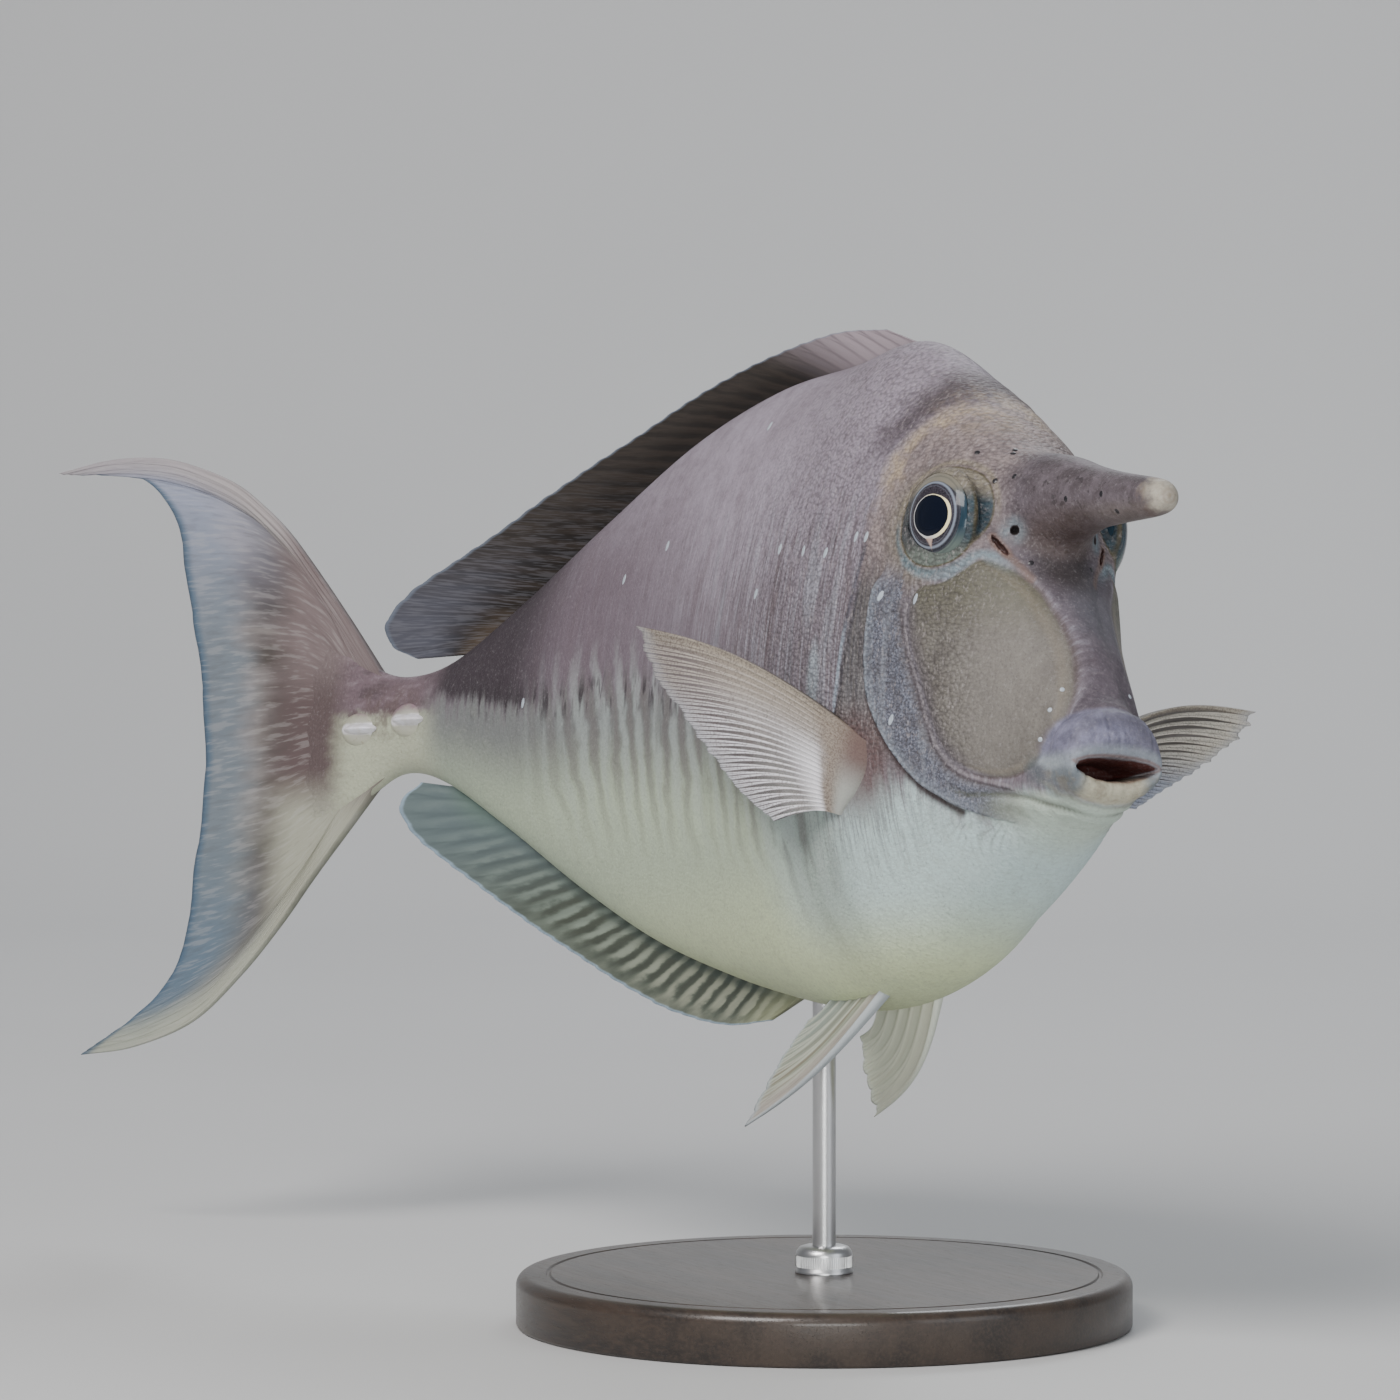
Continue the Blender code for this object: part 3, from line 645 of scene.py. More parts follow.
class Paint(Graph):
    """Builds one material's node tree."""

    def __init__(self, name: str) -> None:
        """Starts a material of one Principled shader.

        Args:
            name: the material's name.
        """
        self.material = bpy.data.materials.new(name)
        self.material.use_nodes = True
        super().__init__(self.material.node_tree)
        self.shader = self.tree.nodes["Principled BSDF"]

    def number(self, name: str) -> Value:
        """Reads a number stored on the mesh."""
        made = self.node("ShaderNodeAttribute", {"attribute_name": name}, {})
        return Value(self, made.outputs["Fac"])

    def vector(self, name: str) -> NodeSocket:
        """Reads a vector stored on the mesh."""
        return self.node("ShaderNodeAttribute", {"attribute_name": name}, {}).outputs["Vector"]

    def object_place(self) -> NodeSocket:
        """The Object coordinates."""
        return self.node("ShaderNodeTexCoord", {}, {}).outputs["Object"]

    def stretched(self, vector: NodeSocket, scale: Sequence[float]) -> NodeSocket:
        """A vector scaled along each axis."""
        made = self.node("ShaderNodeVectorMath", {"operation": "MULTIPLY"}, {0: vector, 1: tuple(scale)})
        return made.outputs[0]

    def parts(self, vector: NodeSocket) -> tuple[Value, Value, Value]:
        """A vector's three numbers."""
        made = self.node("ShaderNodeSeparateXYZ", {}, {0: vector})
        return tuple(Value(self, output) for output in made.outputs)

    def noise(self, vector: NodeSocket, scale: float | tuple[float, ...], detail: float = 3.0,
              rough: float = 0.55) -> Value:
        """Noise of about 0 to 1; scale is one number or one for each axis.

        Args:
            vector: the place.
            scale: one number, or one for each axis.
            detail: how many octaves.
            rough: how strong the fine ones are.

        Returns:
            The noise.
        """
        if isinstance(scale, tuple):
            vector, scale = self.stretched(vector, scale), 1.0
        made = self.node(
            "ShaderNodeTexNoise", {}, {"Vector": vector, "Scale": scale, "Detail": detail, "Roughness": rough}
        )
        return Value(self, made.outputs["Fac"])

    def cells(self, vector: NodeSocket, scale: float, feature: str = "F1") -> Value:
        """Distance in a Voronoi pattern."""
        made = self.node("ShaderNodeTexVoronoi", {"feature": feature}, {"Vector": vector, "Scale": scale})
        return Value(self, made.outputs["Distance"])

    def mix(self, share: Value | float, low: object, high: object) -> NodeSocket:
        """Mixes two colours, low at 0 and high at 1.

        Args:
            share: how much of high shows.
            low: a colour or a link.
            high: a colour or a link.

        Returns:
            The mixed colour.
        """
        made = self.node("ShaderNodeMix", {"data_type": "RGBA", "clamp_factor": True}, {})
        names = {socket.identifier: socket for socket in made.inputs}
        self.feed(names["Factor_Float"], share)
        self.feed(names["A_Color"], low)
        self.feed(names["B_Color"], high)
        return next(output for output in made.outputs if output.identifier == "Result_Color")

    def over(self, colour: object, *layers: tuple[object, object]) -> NodeSocket:
        """Lays colours over one another in order, each given with the share that it covers.

        Args:
            colour: the lowest colour.
            layers: pairs of share and colour, lowest first.

        Returns:
            The colour that results.
        """
        for share, tint in layers:
            colour = self.mix(share, colour, tint)
        return colour

    def finish(self, colour: object, roughness: object, relief: Value | None = None, depth: float = 0.0005,
               cover: object = 1.0, **others: float) -> Material:
        """Sets the shader's sockets.

        Args:
            colour: the base colour.
            roughness: a number or a value.
            relief: the height that a Bump node reads.
            depth: what a height of 1 means, in metres.
            cover: how opaque it is, from 0 to 1.
            others: other sockets, with underscores for spaces, each one number.

        Returns:
            The material.
        """
        self.feed(self.shader.inputs["Base Color"], colour)
        self.feed(self.shader.inputs["Roughness"], roughness)
        self.feed(self.shader.inputs["Alpha"], cover)
        if relief is not None:
            bump = self.node("ShaderNodeBump", {}, {"Height": relief, "Strength": 1.0, "Distance": depth})
            self.feed(self.shader.inputs["Normal"], bump.outputs[0])
        for name, value in others.items():
            self.shader.inputs[name.replace("_", " ")].default_value = value
        return self.material


# The fish's form


@dataclass(frozen=True)
class Form:
    """The body's sections and the lines drawn on it, in metres, as in the CAD source."""

    # Each row: top x and z, bottom x and z, half width, share of the height where the body is
    # widest, roundness above and below it
    sections: Points = (
        (-0.481, 0.044, -0.481, -0.045, 0.0003, 0.5, 2.0, 2.0),
        (-0.472, 0.039, -0.472, -0.04, 0.0019, 0.5, 2.0, 2.0),
        (-0.464, 0.034, -0.464, -0.035, 0.0034, 0.5, 2.0, 2.0),
        (-0.448, 0.024, -0.448, -0.025, 0.0062, 0.5, 2.0, 2.0),
        (-0.43, 0.0196, -0.43, -0.0162, 0.0088, 0.5, 2.0, 2.0),
        (-0.405, 0.025, -0.408, -0.0205, 0.0125, 0.5, 2.0, 2.0),
        (-0.37, 0.045, -0.375, -0.0382, 0.019, 0.49, 1.9, 1.9),
        (-0.325, 0.072, -0.332, -0.0622, 0.027, 0.48, 1.85, 1.9),
        (-0.275, 0.097, -0.288, -0.0818, 0.034, 0.47, 1.8, 1.95),
        (-0.225, 0.11, -0.24, -0.0956, 0.04, 0.46, 1.8, 2.0),
        (-0.175, 0.113, -0.195, -0.1046, 0.044, 0.45, 1.8, 2.05),
        (-0.1345, 0.116, -0.16, -0.109, 0.046, 0.45, 1.85, 2.1),
        (-0.105, 0.1035, -0.138, -0.109, 0.046, 0.46, 2.0, 2.1),
        (-0.082, 0.0885, -0.118, -0.106, 0.0438, 0.48, 2.3, 2.1),
        (-0.062, 0.0735, -0.098, -0.1, 0.0395, 0.5, 2.6, 2.1),
        (-0.0495, 0.0535, -0.081, -0.091, 0.0345, 0.5, 2.3, 2.1),
        (-0.041, 0.035, -0.063, -0.08, 0.0305, 0.49, 1.95, 2.3),
        (-0.03, 0.0165, -0.0475, -0.07, 0.026, 0.46, 1.9, 2.35),
        (-0.02, 0.001, -0.035, -0.062, 0.022, 0.45, 1.95, 2.2),
        (-0.0115, -0.0128, -0.0235, -0.0562, 0.019, 0.45, 2.0, 2.0),
        (-0.005, -0.018, -0.0165, -0.0533, 0.0179, 0.48, 2.2, 1.9),
        (-0.0008, -0.0243, -0.0095, -0.0506, 0.0172, 0.5, 2.2, 1.9),
        (0.0, -0.0308, -0.0045, -0.0452, 0.016, 0.5, 1.8, 1.8),
        (-0.0045, -0.0342, -0.0065, -0.0418, 0.0148, 0.5, 1.4, 1.5),
        (-0.021, -0.0355, -0.021, -0.041, 0.0092, 0.5, 1.4, 1.5),
    )
    head_first: int = 9
    torso_last: float = 18.8
    nape_cut: Points = ((-0.116, 0.14), (-0.104, 0.103), (-0.093, 0.062))
    gill_edge: Points = (
        (-0.0865, 0.033),
        (-0.09, 0.023),
        (-0.0915, 0.007),
        (-0.091, -0.006),
        (-0.088, -0.016),
        (-0.08, -0.029),
        (-0.07, -0.04),
        (-0.059, -0.046),
        (-0.048, -0.051),
    )
    throat_cut: Points = ((-0.034, -0.055), (-0.022, -0.061), (-0.012, -0.08))
    cheek: Points = (
        (-0.0458, 0.0289), (-0.0379, 0.0217), (-0.0317, 0.0142), (-0.0237, 0.0035), (-0.0188, -0.0048),
        (-0.0142, -0.0163), (-0.0149, -0.0259), (-0.0195, -0.0346), (-0.03, -0.0394), (-0.0415, -0.0394),
        (-0.05, -0.0365), (-0.0572, -0.031), (-0.0632, -0.0225), (-0.0685, -0.008), (-0.0728, 0.005),
        (-0.0738, 0.015), (-0.07, 0.0225), (-0.062, 0.024), (-0.056, 0.028), (-0.0515, 0.0315),
    )
    cheek_fold: Points = (
        (-0.0762, 0.017), (-0.075, 0.005), (-0.0705, -0.0084), (-0.0648, -0.0252), (-0.0589, -0.0338),
        (-0.0486, -0.0402), (-0.032, -0.0442),
    )
    jaw_fold: Points = (
        (-0.06, -0.0395), (-0.0503, -0.0449), (-0.0433, -0.0454), (-0.0353, -0.0457), (-0.0265, -0.0469),
        (-0.0218, -0.0486), (-0.0172, -0.05), (-0.012, -0.0522),
    )
    brow: Points = ((-0.1, 0.046), (-0.0995, 0.06), (-0.0965, 0.073), (-0.088, 0.082), (-0.08, 0.0895))
    ribbon: Points = (
        (-0.0785, 0.033), (-0.0722, 0.0285), (-0.0621, 0.0264), (-0.0567, 0.0299), (-0.052, 0.0335),
        (-0.0458, 0.03), (-0.042, 0.0265),
    )
    lips: Points = (
        (0.0, -0.0176), (0.0086, -0.0189), (0.0124, -0.0207), (0.0155, -0.0231), (0.0174, -0.0259),
        (0.0188, -0.0307), (0.0187, -0.036), (0.0172, -0.0412), (0.0137, -0.0453), (0.008, -0.048),
        (0.0, -0.0491), (-0.008, -0.048), (-0.0137, -0.0453), (-0.0172, -0.0412), (-0.0187, -0.036),
        (-0.0188, -0.0307), (-0.0174, -0.0259), (-0.0155, -0.0231), (-0.0124, -0.0207), (-0.0086, -0.0189),
    )
    mouth: Points = (
        (0.0, -0.0337), (0.006, -0.0339), (0.0115, -0.0346), (0.0163, -0.0362), (0.0118, -0.0392),
        (0.0062, -0.0411), (0.0, -0.0416), (-0.0062, -0.0411), (-0.0118, -0.0392), (-0.0163, -0.0362),
        (-0.0115, -0.0346), (-0.006, -0.0339),
    )
    nostril: Sequence[float] = (-0.0468, 0.0418)
    slit: Points = ((-0.0515, 0.04), (-0.0489, 0.0366), (-0.0462, 0.033))
    slit_fold: Points = ((-0.05, 0.0372), (-0.0468, 0.0335), (-0.043, 0.029), (-0.04, 0.0252))
    shoulder_line: Points = (
        (-0.0985, 0.044), (-0.1004, 0.0333), (-0.1026, 0.0212), (-0.1037, 0.0148), (-0.106, 0.0013),
        (-0.1081, -0.0101), (-0.1088, -0.014),
    )
    pale_line: Points = (
        (-0.47, 0.01), (-0.404, 0.012), (-0.362, 0.004), (-0.32, 0.003), (-0.29, 0.004), (-0.259, 0.002),
        (-0.224, -0.003), (-0.19, -0.006), (-0.142, -0.029), (-0.112, -0.044), (-0.1, -0.038),
        (-0.085, -0.04), (-0.064, -0.046), (-0.048, -0.05), (-0.02, -0.05), (0.02, -0.05),
    )
    eye_centre: Sequence[float] = (-0.067, 0.0302, 0.0465)
    eye_radius: float = 0.0154
    eye_depth: float = 0.007
    eye_forward: float = math.radians(13)
    eye_up: float = math.radians(0.5)
    orbit: Sequence[float] = (0.0169, 0.0172, 0.0054)
    # Each row: x and z of the horn's axis, half height, half width
    horn_rings: Points = (
        (-0.078, 0.048, 0.027, 0.027),
        (-0.062, 0.05, 0.022, 0.0215),
        (-0.048, 0.0518, 0.0172, 0.0166),
        (-0.034, 0.0524, 0.0136, 0.013),
        (-0.022, 0.0518, 0.0105, 0.0105),
        (-0.008, 0.0503, 0.0085, 0.0088),
        (0.006, 0.049, 0.0071, 0.0074),
        (0.014, 0.0483, 0.0063, 0.0065),
        (0.0195, 0.0479, 0.0052, 0.0054),
        (0.0222, 0.0477, 0.0032, 0.0034),
    )
    horn_tip: Sequence[float] = (0.0233, 0.0, 0.0476)

    def surface(self, station: np.ndarray, angle: np.ndarray) -> np.ndarray:
        """The body's surface.

        Args:
            station: places along the sections.
            angle: from the back, round the left side.

        Returns:
            An array of points, one more dimension than its inputs.
        """
        columns = np.moveaxis(spline(self.sections, station), -1, 0)
        top_x, top_z, low_x, low_z, half, widest, over, under = columns
        cosine, sine = np.cos(angle), np.sin(angle)
        roundness = np.where(cosine >= 0, over, under)
        reach = np.where(cosine >= 0, 1 - widest, widest)
        out = np.sign(sine) * np.abs(sine) ** (2 / roundness) * half
        rise = widest + np.sign(cosine) * np.abs(cosine) ** (2 / roundness) * reach
        return np.stack([low_x + (top_x - low_x) * rise, out, low_z + (top_z - low_z) * rise], axis=-1)

    def stations(self, first: float, last: float, spacing: Callable[[float], float]) -> np.ndarray:
        """Places along the sections, set apart along the flank by spacing, a function of x.

        Args:
            first: the first place.
            last: the last place.
            spacing: the wanted distance.

        Returns:
            The places, first and last among them.
        """
        fine = np.linspace(first, last, 4000)
        flank = self.surface(fine, np.full(len(fine), math.pi / 2))
        steps = np.linalg.norm(np.diff(flank, axis=0), axis=1)
        wanted = np.array([spacing(x) for x in flank[1:, 0]])
        run = np.concatenate([[0], np.cumsum(steps / wanted)])
        count = int(math.ceil(run[-1]))
        return np.interp(np.linspace(0, run[-1], count + 1), run, fine)

    def eye_frame(self, side: Side) -> Matrix:
        """Where an eye sits and, as its Z axis, which way it looks.

        Args:
            side: which side of the fish.

        Returns:
            The eye's matrix.
        """
        look = Vector((
            math.sin(self.eye_forward) * math.cos(self.eye_up),
            side.value * math.cos(self.eye_forward) * math.cos(self.eye_up),
            math.sin(self.eye_up),
        ))
        across = Vector((0, 0, 1)).cross(look).normalized()
        turn = Matrix((across, look.cross(across), look)).transposed().to_4x4()
        x, y, z = self.eye_centre
        return Matrix.Translation((x, side.value * y, z)) @ turn

    def cut_line(self) -> np.ndarray:
        """The line in side view along which the gill cover lies over the shoulder."""
        return drawn((*self.nape_cut, *self.gill_edge, *self.throat_cut), 160)


@dataclass(frozen=True)
class Pose:
    """How the straight fish is swept, banked and set on its rod."""

    sweep: float = math.radians(25.2)
    sweep_start: float = -0.42 * STANDARD_LENGTH
    sweep_length: float = 0.58 * STANDARD_LENGTH
    pitch: float = math.radians(6.8)
    bank: float = math.radians(-6.65)
    rod_station: float = -0.187
    rod_top: float = 0.11

    def swept(self, points: np.ndarray) -> np.ndarray:
        """Turns what lies behind sweep_start evenly to the fish's right.

        Args:
            points: rows of points on the straight fish.

        Returns:
            The same points, swept.
        """
        x, y, z = points.T
        bend = self.sweep / self.sweep_length
        run = np.maximum(self.sweep_start - x, 0)
        curved = np.minimum(run, 1.05 * self.sweep_length)
        angle = bend * curved
        behind = x < self.sweep_start
        middle_x = self.sweep_start - np.sin(angle) / bend - np.cos(angle) * (run - curved)
        middle_y = -(1 - np.cos(angle)) / bend - np.sin(angle) * (run - curved)
        new_x = np.where(behind, middle_x - np.sin(angle) * y, x)
        new_y = np.where(behind, middle_y + np.cos(angle) * y, y)
        return np.stack([new_x, new_y, z], axis=1)

    def matrix(self, form: Form) -> Matrix:
        """The fish's place over the stand.

        Args:
            form: the fish's form.

        Returns:
            The matrix from the straight fish's frame to the row's.
        """
        line = np.array([(row[2], row[3]) for row in form.sections[:14]])
        belly = Vector((self.rod_station, 0.0, float(np.interp(self.rod_station, line[:, 0], line[:, 1]))))
        turn = Euler((self.bank, -self.pitch, 0.0)).to_matrix()
        return Matrix.Translation(Vector((0, 0, self.rod_top)) - turn @ belly) @ turn.to_4x4()

    def place(self, obj: Object, form: Form) -> None:
        """Moves a straight piece's vertices to where they belong in the row frame."""
        set_vertices(obj, moved(self.swept(vertices_of(obj)), self.matrix(form)))


@dataclass
class Part:
    """A part of the fish, which knows the whole fish's form and pose."""

    form: Form
    pose: Pose


def dress(obj: Object, material: Material, slot: Slot, *nodes: str) -> None:
    """Finishes a piece: material, smooth shading, body and the CAD nodes that it stands for.

    Args:
        obj: the piece.
        material: its material.
        slot: the record's slot; not used.
        nodes: the CAD nodes that it replaces.
    """
    obj.data.materials.clear()
    obj.data.materials.append(material)
    obj.data.shade_smooth()
    if nodes:
        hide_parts(*nodes)
    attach(obj, "root")
    triangles = sum(len(face.vertices) - 2 for face in obj.data.polygons)
    log.info("%s: %d triangles", obj.name, triangles)


@dataclass
class Skin(Part):
    """The one skin of head, horn, torso and tail stalk."""

    torso_sides: int = 208
    head_sides: int = 300
    gill_lift: float = 0.0019
    gill_fade: float = 0.011
    groove: float = 0.0012
    horn_blend: float = 0.012
    orbit_blend: float = 0.0065
    nostril_size: Sequence[float] = (0.0015, 0.0015, 0.0034)
    slit_size: Sequence[float] = (0.0009, 0.0042, 0.0026)

    def torso(self) -> Object:
        """The body from inside the tail fin to the chin, thinner under the head, grooved behind the gills.

        Returns:
            The new object.
        """
        stations = self.form.stations(0, self.form.torso_last, lambda x: 0.0026 if x < -0.15 else 0.0016)
        angles = np.linspace(0, 2 * math.pi, self.torso_sides, endpoint=False)
        rings = self.form.surface(*np.meshgrid(stations, angles, indexing="ij"))
        middle = rings.mean(axis=1, keepdims=True)
        flat = rings.reshape(-1, 3)
        distance, _ = line_distance(flat[:, [0, 2]], self.form.cut_line())
        inward = middle - rings
        inward /= np.linalg.norm(inward, axis=2, keepdims=True)
        under_head = 0.08 * np.maximum(-distance, 0)
        flat += inward.reshape(-1, 3) * under_head[:, None]
        behind = np.maximum(distance, 0)
        depth = self.groove * self.gill_share(flat[:, [0, 2]]) * bell(behind, 0, 0.0035)
        shoulder, share = line_distance(flat[:, [0, 2]], drawn(self.form.shoulder_line, 40))
        calm = smoothstep(0.0, 0.2, share) * smoothstep(1.0, 0.9, share)
        depth += 0.0007 * calm * smoothstep(0.0004, -0.001, shoulder) * smoothstep(-0.018, -0.008, shoulder)
        flat[:, 1] -= np.sign(flat[:, 1]) * np.minimum(depth, 0.6 * np.abs(flat[:, 1]))
        return loft("torso_skin", flat.reshape(rings.shape), end=(-0.04, 0.0, -0.038))

    def gill_share(self, points: np.ndarray) -> np.ndarray:
        """How much of the gill cover's lift there is near (x, z) points: 1 beside its edge, 0 far off.

        Args:
            points: (x, z) rows.

        Returns:
            One share for each point.
        """
        edge = drawn(self.form.gill_edge, 60)
        distance, share = line_distance(points, edge)
        ends = smoothstep(0.0, 0.1, share) * smoothstep(1.0, 0.93, share)
        return bell(distance, 0, self.gill_fade) * ends

    def head(self) -> Object:
        """The head as far back as the gill cover's edge, which stands off the shoulder.

        Returns:
            The new object.
        """
        last = len(self.form.sections) - 1
        stations = self.form.stations(self.form.head_first + 1, last, lambda x: 0.0011)
        angles = np.linspace(0, 2 * math.pi, self.head_sides, endpoint=False)
        rings = self.form.surface(*np.meshgrid(stations, angles, indexing="ij"))
        flat = rings.reshape(-1, 3)
        flat[:, 1] += np.sign(flat[:, 1]) * self.gill_lift * self.gill_share(flat[:, [0, 2]])
        head = loft("head_skin", flat.reshape(rings.shape))
        line = self.form.cut_line()
        front = np.vstack([line, [(0.06, -0.08), (0.06, 0.14)]])
        combine(head, [prism("front", front, 0.08)], "INTERSECT")
        return head

    def horn(self) -> Object:
        """The horn, from deep in the forehead to its tip.

        Returns:
            The new object.
        """
        stations = np.linspace(0, len(self.form.horn_rings) - 1, 90)
        x, z, high, wide = spline(self.form.horn_rings, stations).T
        angle = np.linspace(0, 2 * math.pi, 96, endpoint=False)
        rings = np.stack([
            np.repeat(x[:, None], 96, axis=1),
            wide[:, None] * np.sin(angle),
            z[:, None] + high[:, None] * np.cos(angle),
        ], axis=-1)
        return loft("horn_skin", rings, end=self.form.horn_tip)

    def blend(self, skin: Object, first: BVHTree, second: BVHTree, reach: float, rounds: int) -> None:
        """Rounds the seam of two joined bodies, out to reach from both of their surfaces.

        Args:
            skin: the skin's object.
            first: the first body's surface.
            second: the second body's surface.
            reach: how far from both it works.
            rounds: how often it smooths.
        """
        points = vertices_of(skin)
        weights = np.zeros(len(points))
        near = np.flatnonzero((points[:, 0] > -0.1) & (points[:, 2] > 0.015))
        for index in near:
            point = Vector(points[index])
            gap = first.find_nearest(point, reach)[3]
            if gap is None:
                continue
            other = second.find_nearest(point, reach)[3]
            if other is not None:
                weights[index] = 1 - max(gap, other) / reach
        relax(skin, smoothstep(0.0, 0.6, weights), rounds)

    def blend_nape(self, skin: Object) -> None:
        """Smooths away the line between head and torso above the gill opening and under the throat.

        Args:
            skin: the skin's object.
        """
        points = vertices_of(skin)
        distance, share = line_distance(points[:, [0, 2]], self.form.cut_line())
        above, below = smoothstep(0.034, 0.04, points[:, 2]), smoothstep(-0.0545, -0.058, points[:, 2])
        weights = smoothstep(0.006, 0.002, np.abs(distance)) * np.maximum(above, below)
        relax(skin, weights, 40)

    def pits(self, skin: Object) -> dict[str, list[Matrix]]:
        """Where the round nostril and the slit before the eye lie on both sides, leaning with the skin.

        Args:
            skin: the skin's object.

        Returns:
            Each kind's places, with the Z axis out of the skin.
        """
        tree = surface_tree(skin)
        places = {"nostril": [], "slit": []}
        for side in Side:
            towards = Vector((0, -side.value, 0))
            first, middle, last, round_one = (
                tree.ray_cast(Vector((x, side.value * 0.1, z)), towards)
                for x, z in (*self.form.slit, self.form.nostril)
            )
            for name, (point, normal, _, _) in (("nostril", round_one), ("slit", middle)):
                across = (first[0] - last[0]).cross(normal).normalized()
                turn = Matrix((across, normal.cross(across), normal)).transposed().to_4x4()
                places[name].append(Matrix.Translation(point) @ turn)
        return places

    def mark_pits(self, skin: Object, places: dict[str, list[Matrix]]) -> None:
        """Stores the distance from the axis of each nostril and from the middle plane of each slit.

        Args:
            skin: the skin's object.
            places: what pits gave.
        """
        points = vertices_of(skin)
        for name, half in (("nostril", 0.0), ("slit", 0.0036)):
            nearest = np.full(len(points), 0.05)
            for place in places[name]:
                local = moved(points, place.inverted())
                beyond = np.maximum(np.abs(local[:, 1]) - half, 0)
                distance = np.hypot(local[:, 0], beyond)
                here = (np.abs(local[:, 2]) < 0.006) & (distance < nearest)
                nearest[here] = distance[here]
            store(skin, name, nearest * 1000)

    def relief(self, skin: Object) -> None:
        """Raises the cheek plate and sinks the folds round it, and ripples the flank and the gill cover.

        Args:
            skin: the skin's object.
        """
        points, normals = vertices_of(skin), normals_of(skin)
        flat = points[:, [0, 2]]
        outside = smoothstep(0.006, 0.014, np.abs(points[:, 1]))
        cheek = outline_distance(flat, drawn((*self.form.cheek, self.form.cheek[0]), 120))
        fold, share = line_distance(flat, drawn(self.form.cheek_fold, 60))
        ends = smoothstep(0.0, 0.15, share) * smoothstep(1.0, 0.85, share)
        height = 0.0009 * smoothstep(-0.0005, 0.0035, cheek)
        height -= 0.0006 * bell(cheek, -0.0008, 0.0011)
        height -= 0.0006 * bell(fold, 0, 0.001) * ends
        height += 0.0005 * bell(fold, 0.003, 0.003) * ends
        gill, _ = line_distance(flat, self.form.cut_line())
        ripple = Ripple(11)
        cover = smoothstep(0.0, -0.003, gill) * smoothstep(-0.02, -0.012, gill)
        height += 0.00022 * cover * ripple(points, (0.0035, 0.02, 0.016))
        flank = smoothstep(0.002, 0.012, gill) * smoothstep(-0.3, -0.2, points[:, 0])
        flank *= smoothstep(-0.075, -0.03, points[:, 2]) * smoothstep(0.085, 0.04, points[:, 2])
        flank *= np.maximum(smoothstep(-0.03, -0.01, points[:, 2]), smoothstep(-0.12, -0.16, points[:, 0]))
        height += 0.0003 * flank * ripple(points, (0.006, 0.03, 0.045))
        height *= outside
        snout = smoothstep(-0.034, -0.026, points[:, 0])
        lips = outline_distance(points[:, [1, 2]], np.array(self.form.lips))
        mouth = outline_distance(points[:, [1, 2]], np.array(self.form.mouth))
        height += 0.0008 * snout * smoothstep(-0.0005, 0.003, lips) * smoothstep(0.001, -0.002, mouth)
        height -= 0.0009 * snout * bell(lips, -0.0004, 0.0011)
        height += 0.00012 * snout * smoothstep(0.0, 0.002, lips) * ripple(points, (0.02, 0.0022, 0.02))
        jaw, share = line_distance(flat, drawn(self.form.jaw_fold, 60))
        ends = smoothstep(0.0, 0.2, share) * smoothstep(1.0, 0.9, share)
        height -= 0.0006 * bell(jaw, 0, 0.001) * ends
        height += 0.0004 * bell(np.abs(jaw), 0.0026, 0.002) * ends
        height += 0.00012 * self.wrinkles(points)
        set_vertices(skin, points + normals * height[:, None])

    def wrinkles(self, points: np.ndarray) -> np.ndarray:
        """Fine wrinkles of the throat that spread from the front end of the gill slit, from -1 to 1.

        Args:
            points: rows of points.

        Returns:
            One number for each point.
        """
        x, z = points[:, 0] + 0.049, points[:, 2] + 0.05
        reach = np.hypot(x, z)
        ring = smoothstep(0.0015, 0.004, reach) * smoothstep(0.018, 0.008, reach)
        wander = Ripple(17)(points, (0.016, 0.03, 0.016))
        return smoothstep(0.002, -0.003, z) * ring * np.sin(30 * np.arctan2(z, x) + 0.4 * wander)

    def marks(self, skin: Object) -> None:
        """Stores what the skin's material reads: where each point lies and how far from each drawn line.

        Args:
            skin: the skin's object.
        """
        points = vertices_of(skin)
        flat, front = points[:, [0, 2]], points[:, [1, 2]]
        form, millimetres = self.form, 1000.0
        store(skin, "spot", points * 10)
        boundary = np.interp(points[:, 0], *np.array(form.pale_line).T)
        store(skin, "above_pale", (points[:, 2] - boundary) * millimetres)
        cheek = outline_distance(flat, drawn((*form.cheek, form.cheek[0]), 120))
        turned_away = smoothstep(0.0, 0.005, points[:, 1]) * smoothstep(-0.055, -0.045, points[:, 0])
        store(skin, "cheek", (cheek - 0.005 * turned_away) * millimetres)
        store(skin, "gill", -line_distance(flat, form.cut_line())[0] * millimetres)
        store(skin, "gill_share", self.gill_share(flat))
        for name, line, count in (("fold", form.cheek_fold, 60), ("brow", form.brow, 40),
                                  ("shoulder", form.shoulder_line, 40)):
            store(skin, name, line_distance(flat, drawn(line, count))[0] * millimetres)
        for name, line in (("ribbon", form.ribbon), ("slit_fold", form.slit_fold)):
            store(skin, name, np.abs(line_distance(flat, drawn(line, 40))[0]) * millimetres)
        jaw, share = line_distance(flat, drawn(form.jaw_fold, 60))
        ends = smoothstep(0.05, 0.25, share) * smoothstep(1.0, 0.9, share)
        store(skin, "jaw", bell(jaw, 0, 0.0008) * ends)
        store(skin, "wrinkle", self.wrinkles(points))
        ring = np.full(len(points), 1.0)
        rise, fore = np.zeros(len(points)), np.zeros(len(points))
        for side in Side:
            local = moved(points, form.eye_frame(side).inverted())
            ahead = -side.value * local[:, 0]
            distance = np.hypot(np.where(ahead > 0, 1.07, 1.0) * ahead, local[:, 1])
            here = (distance < ring) & (np.sign(points[:, 1]) == side.value)
            ring[here], rise[here], fore[here] = distance[here], local[here, 1], ahead[here]
        for name, values in (("eye_ring", ring), ("eye_rise", rise), ("eye_fore", fore)):
            store(skin, name, values * millimetres)
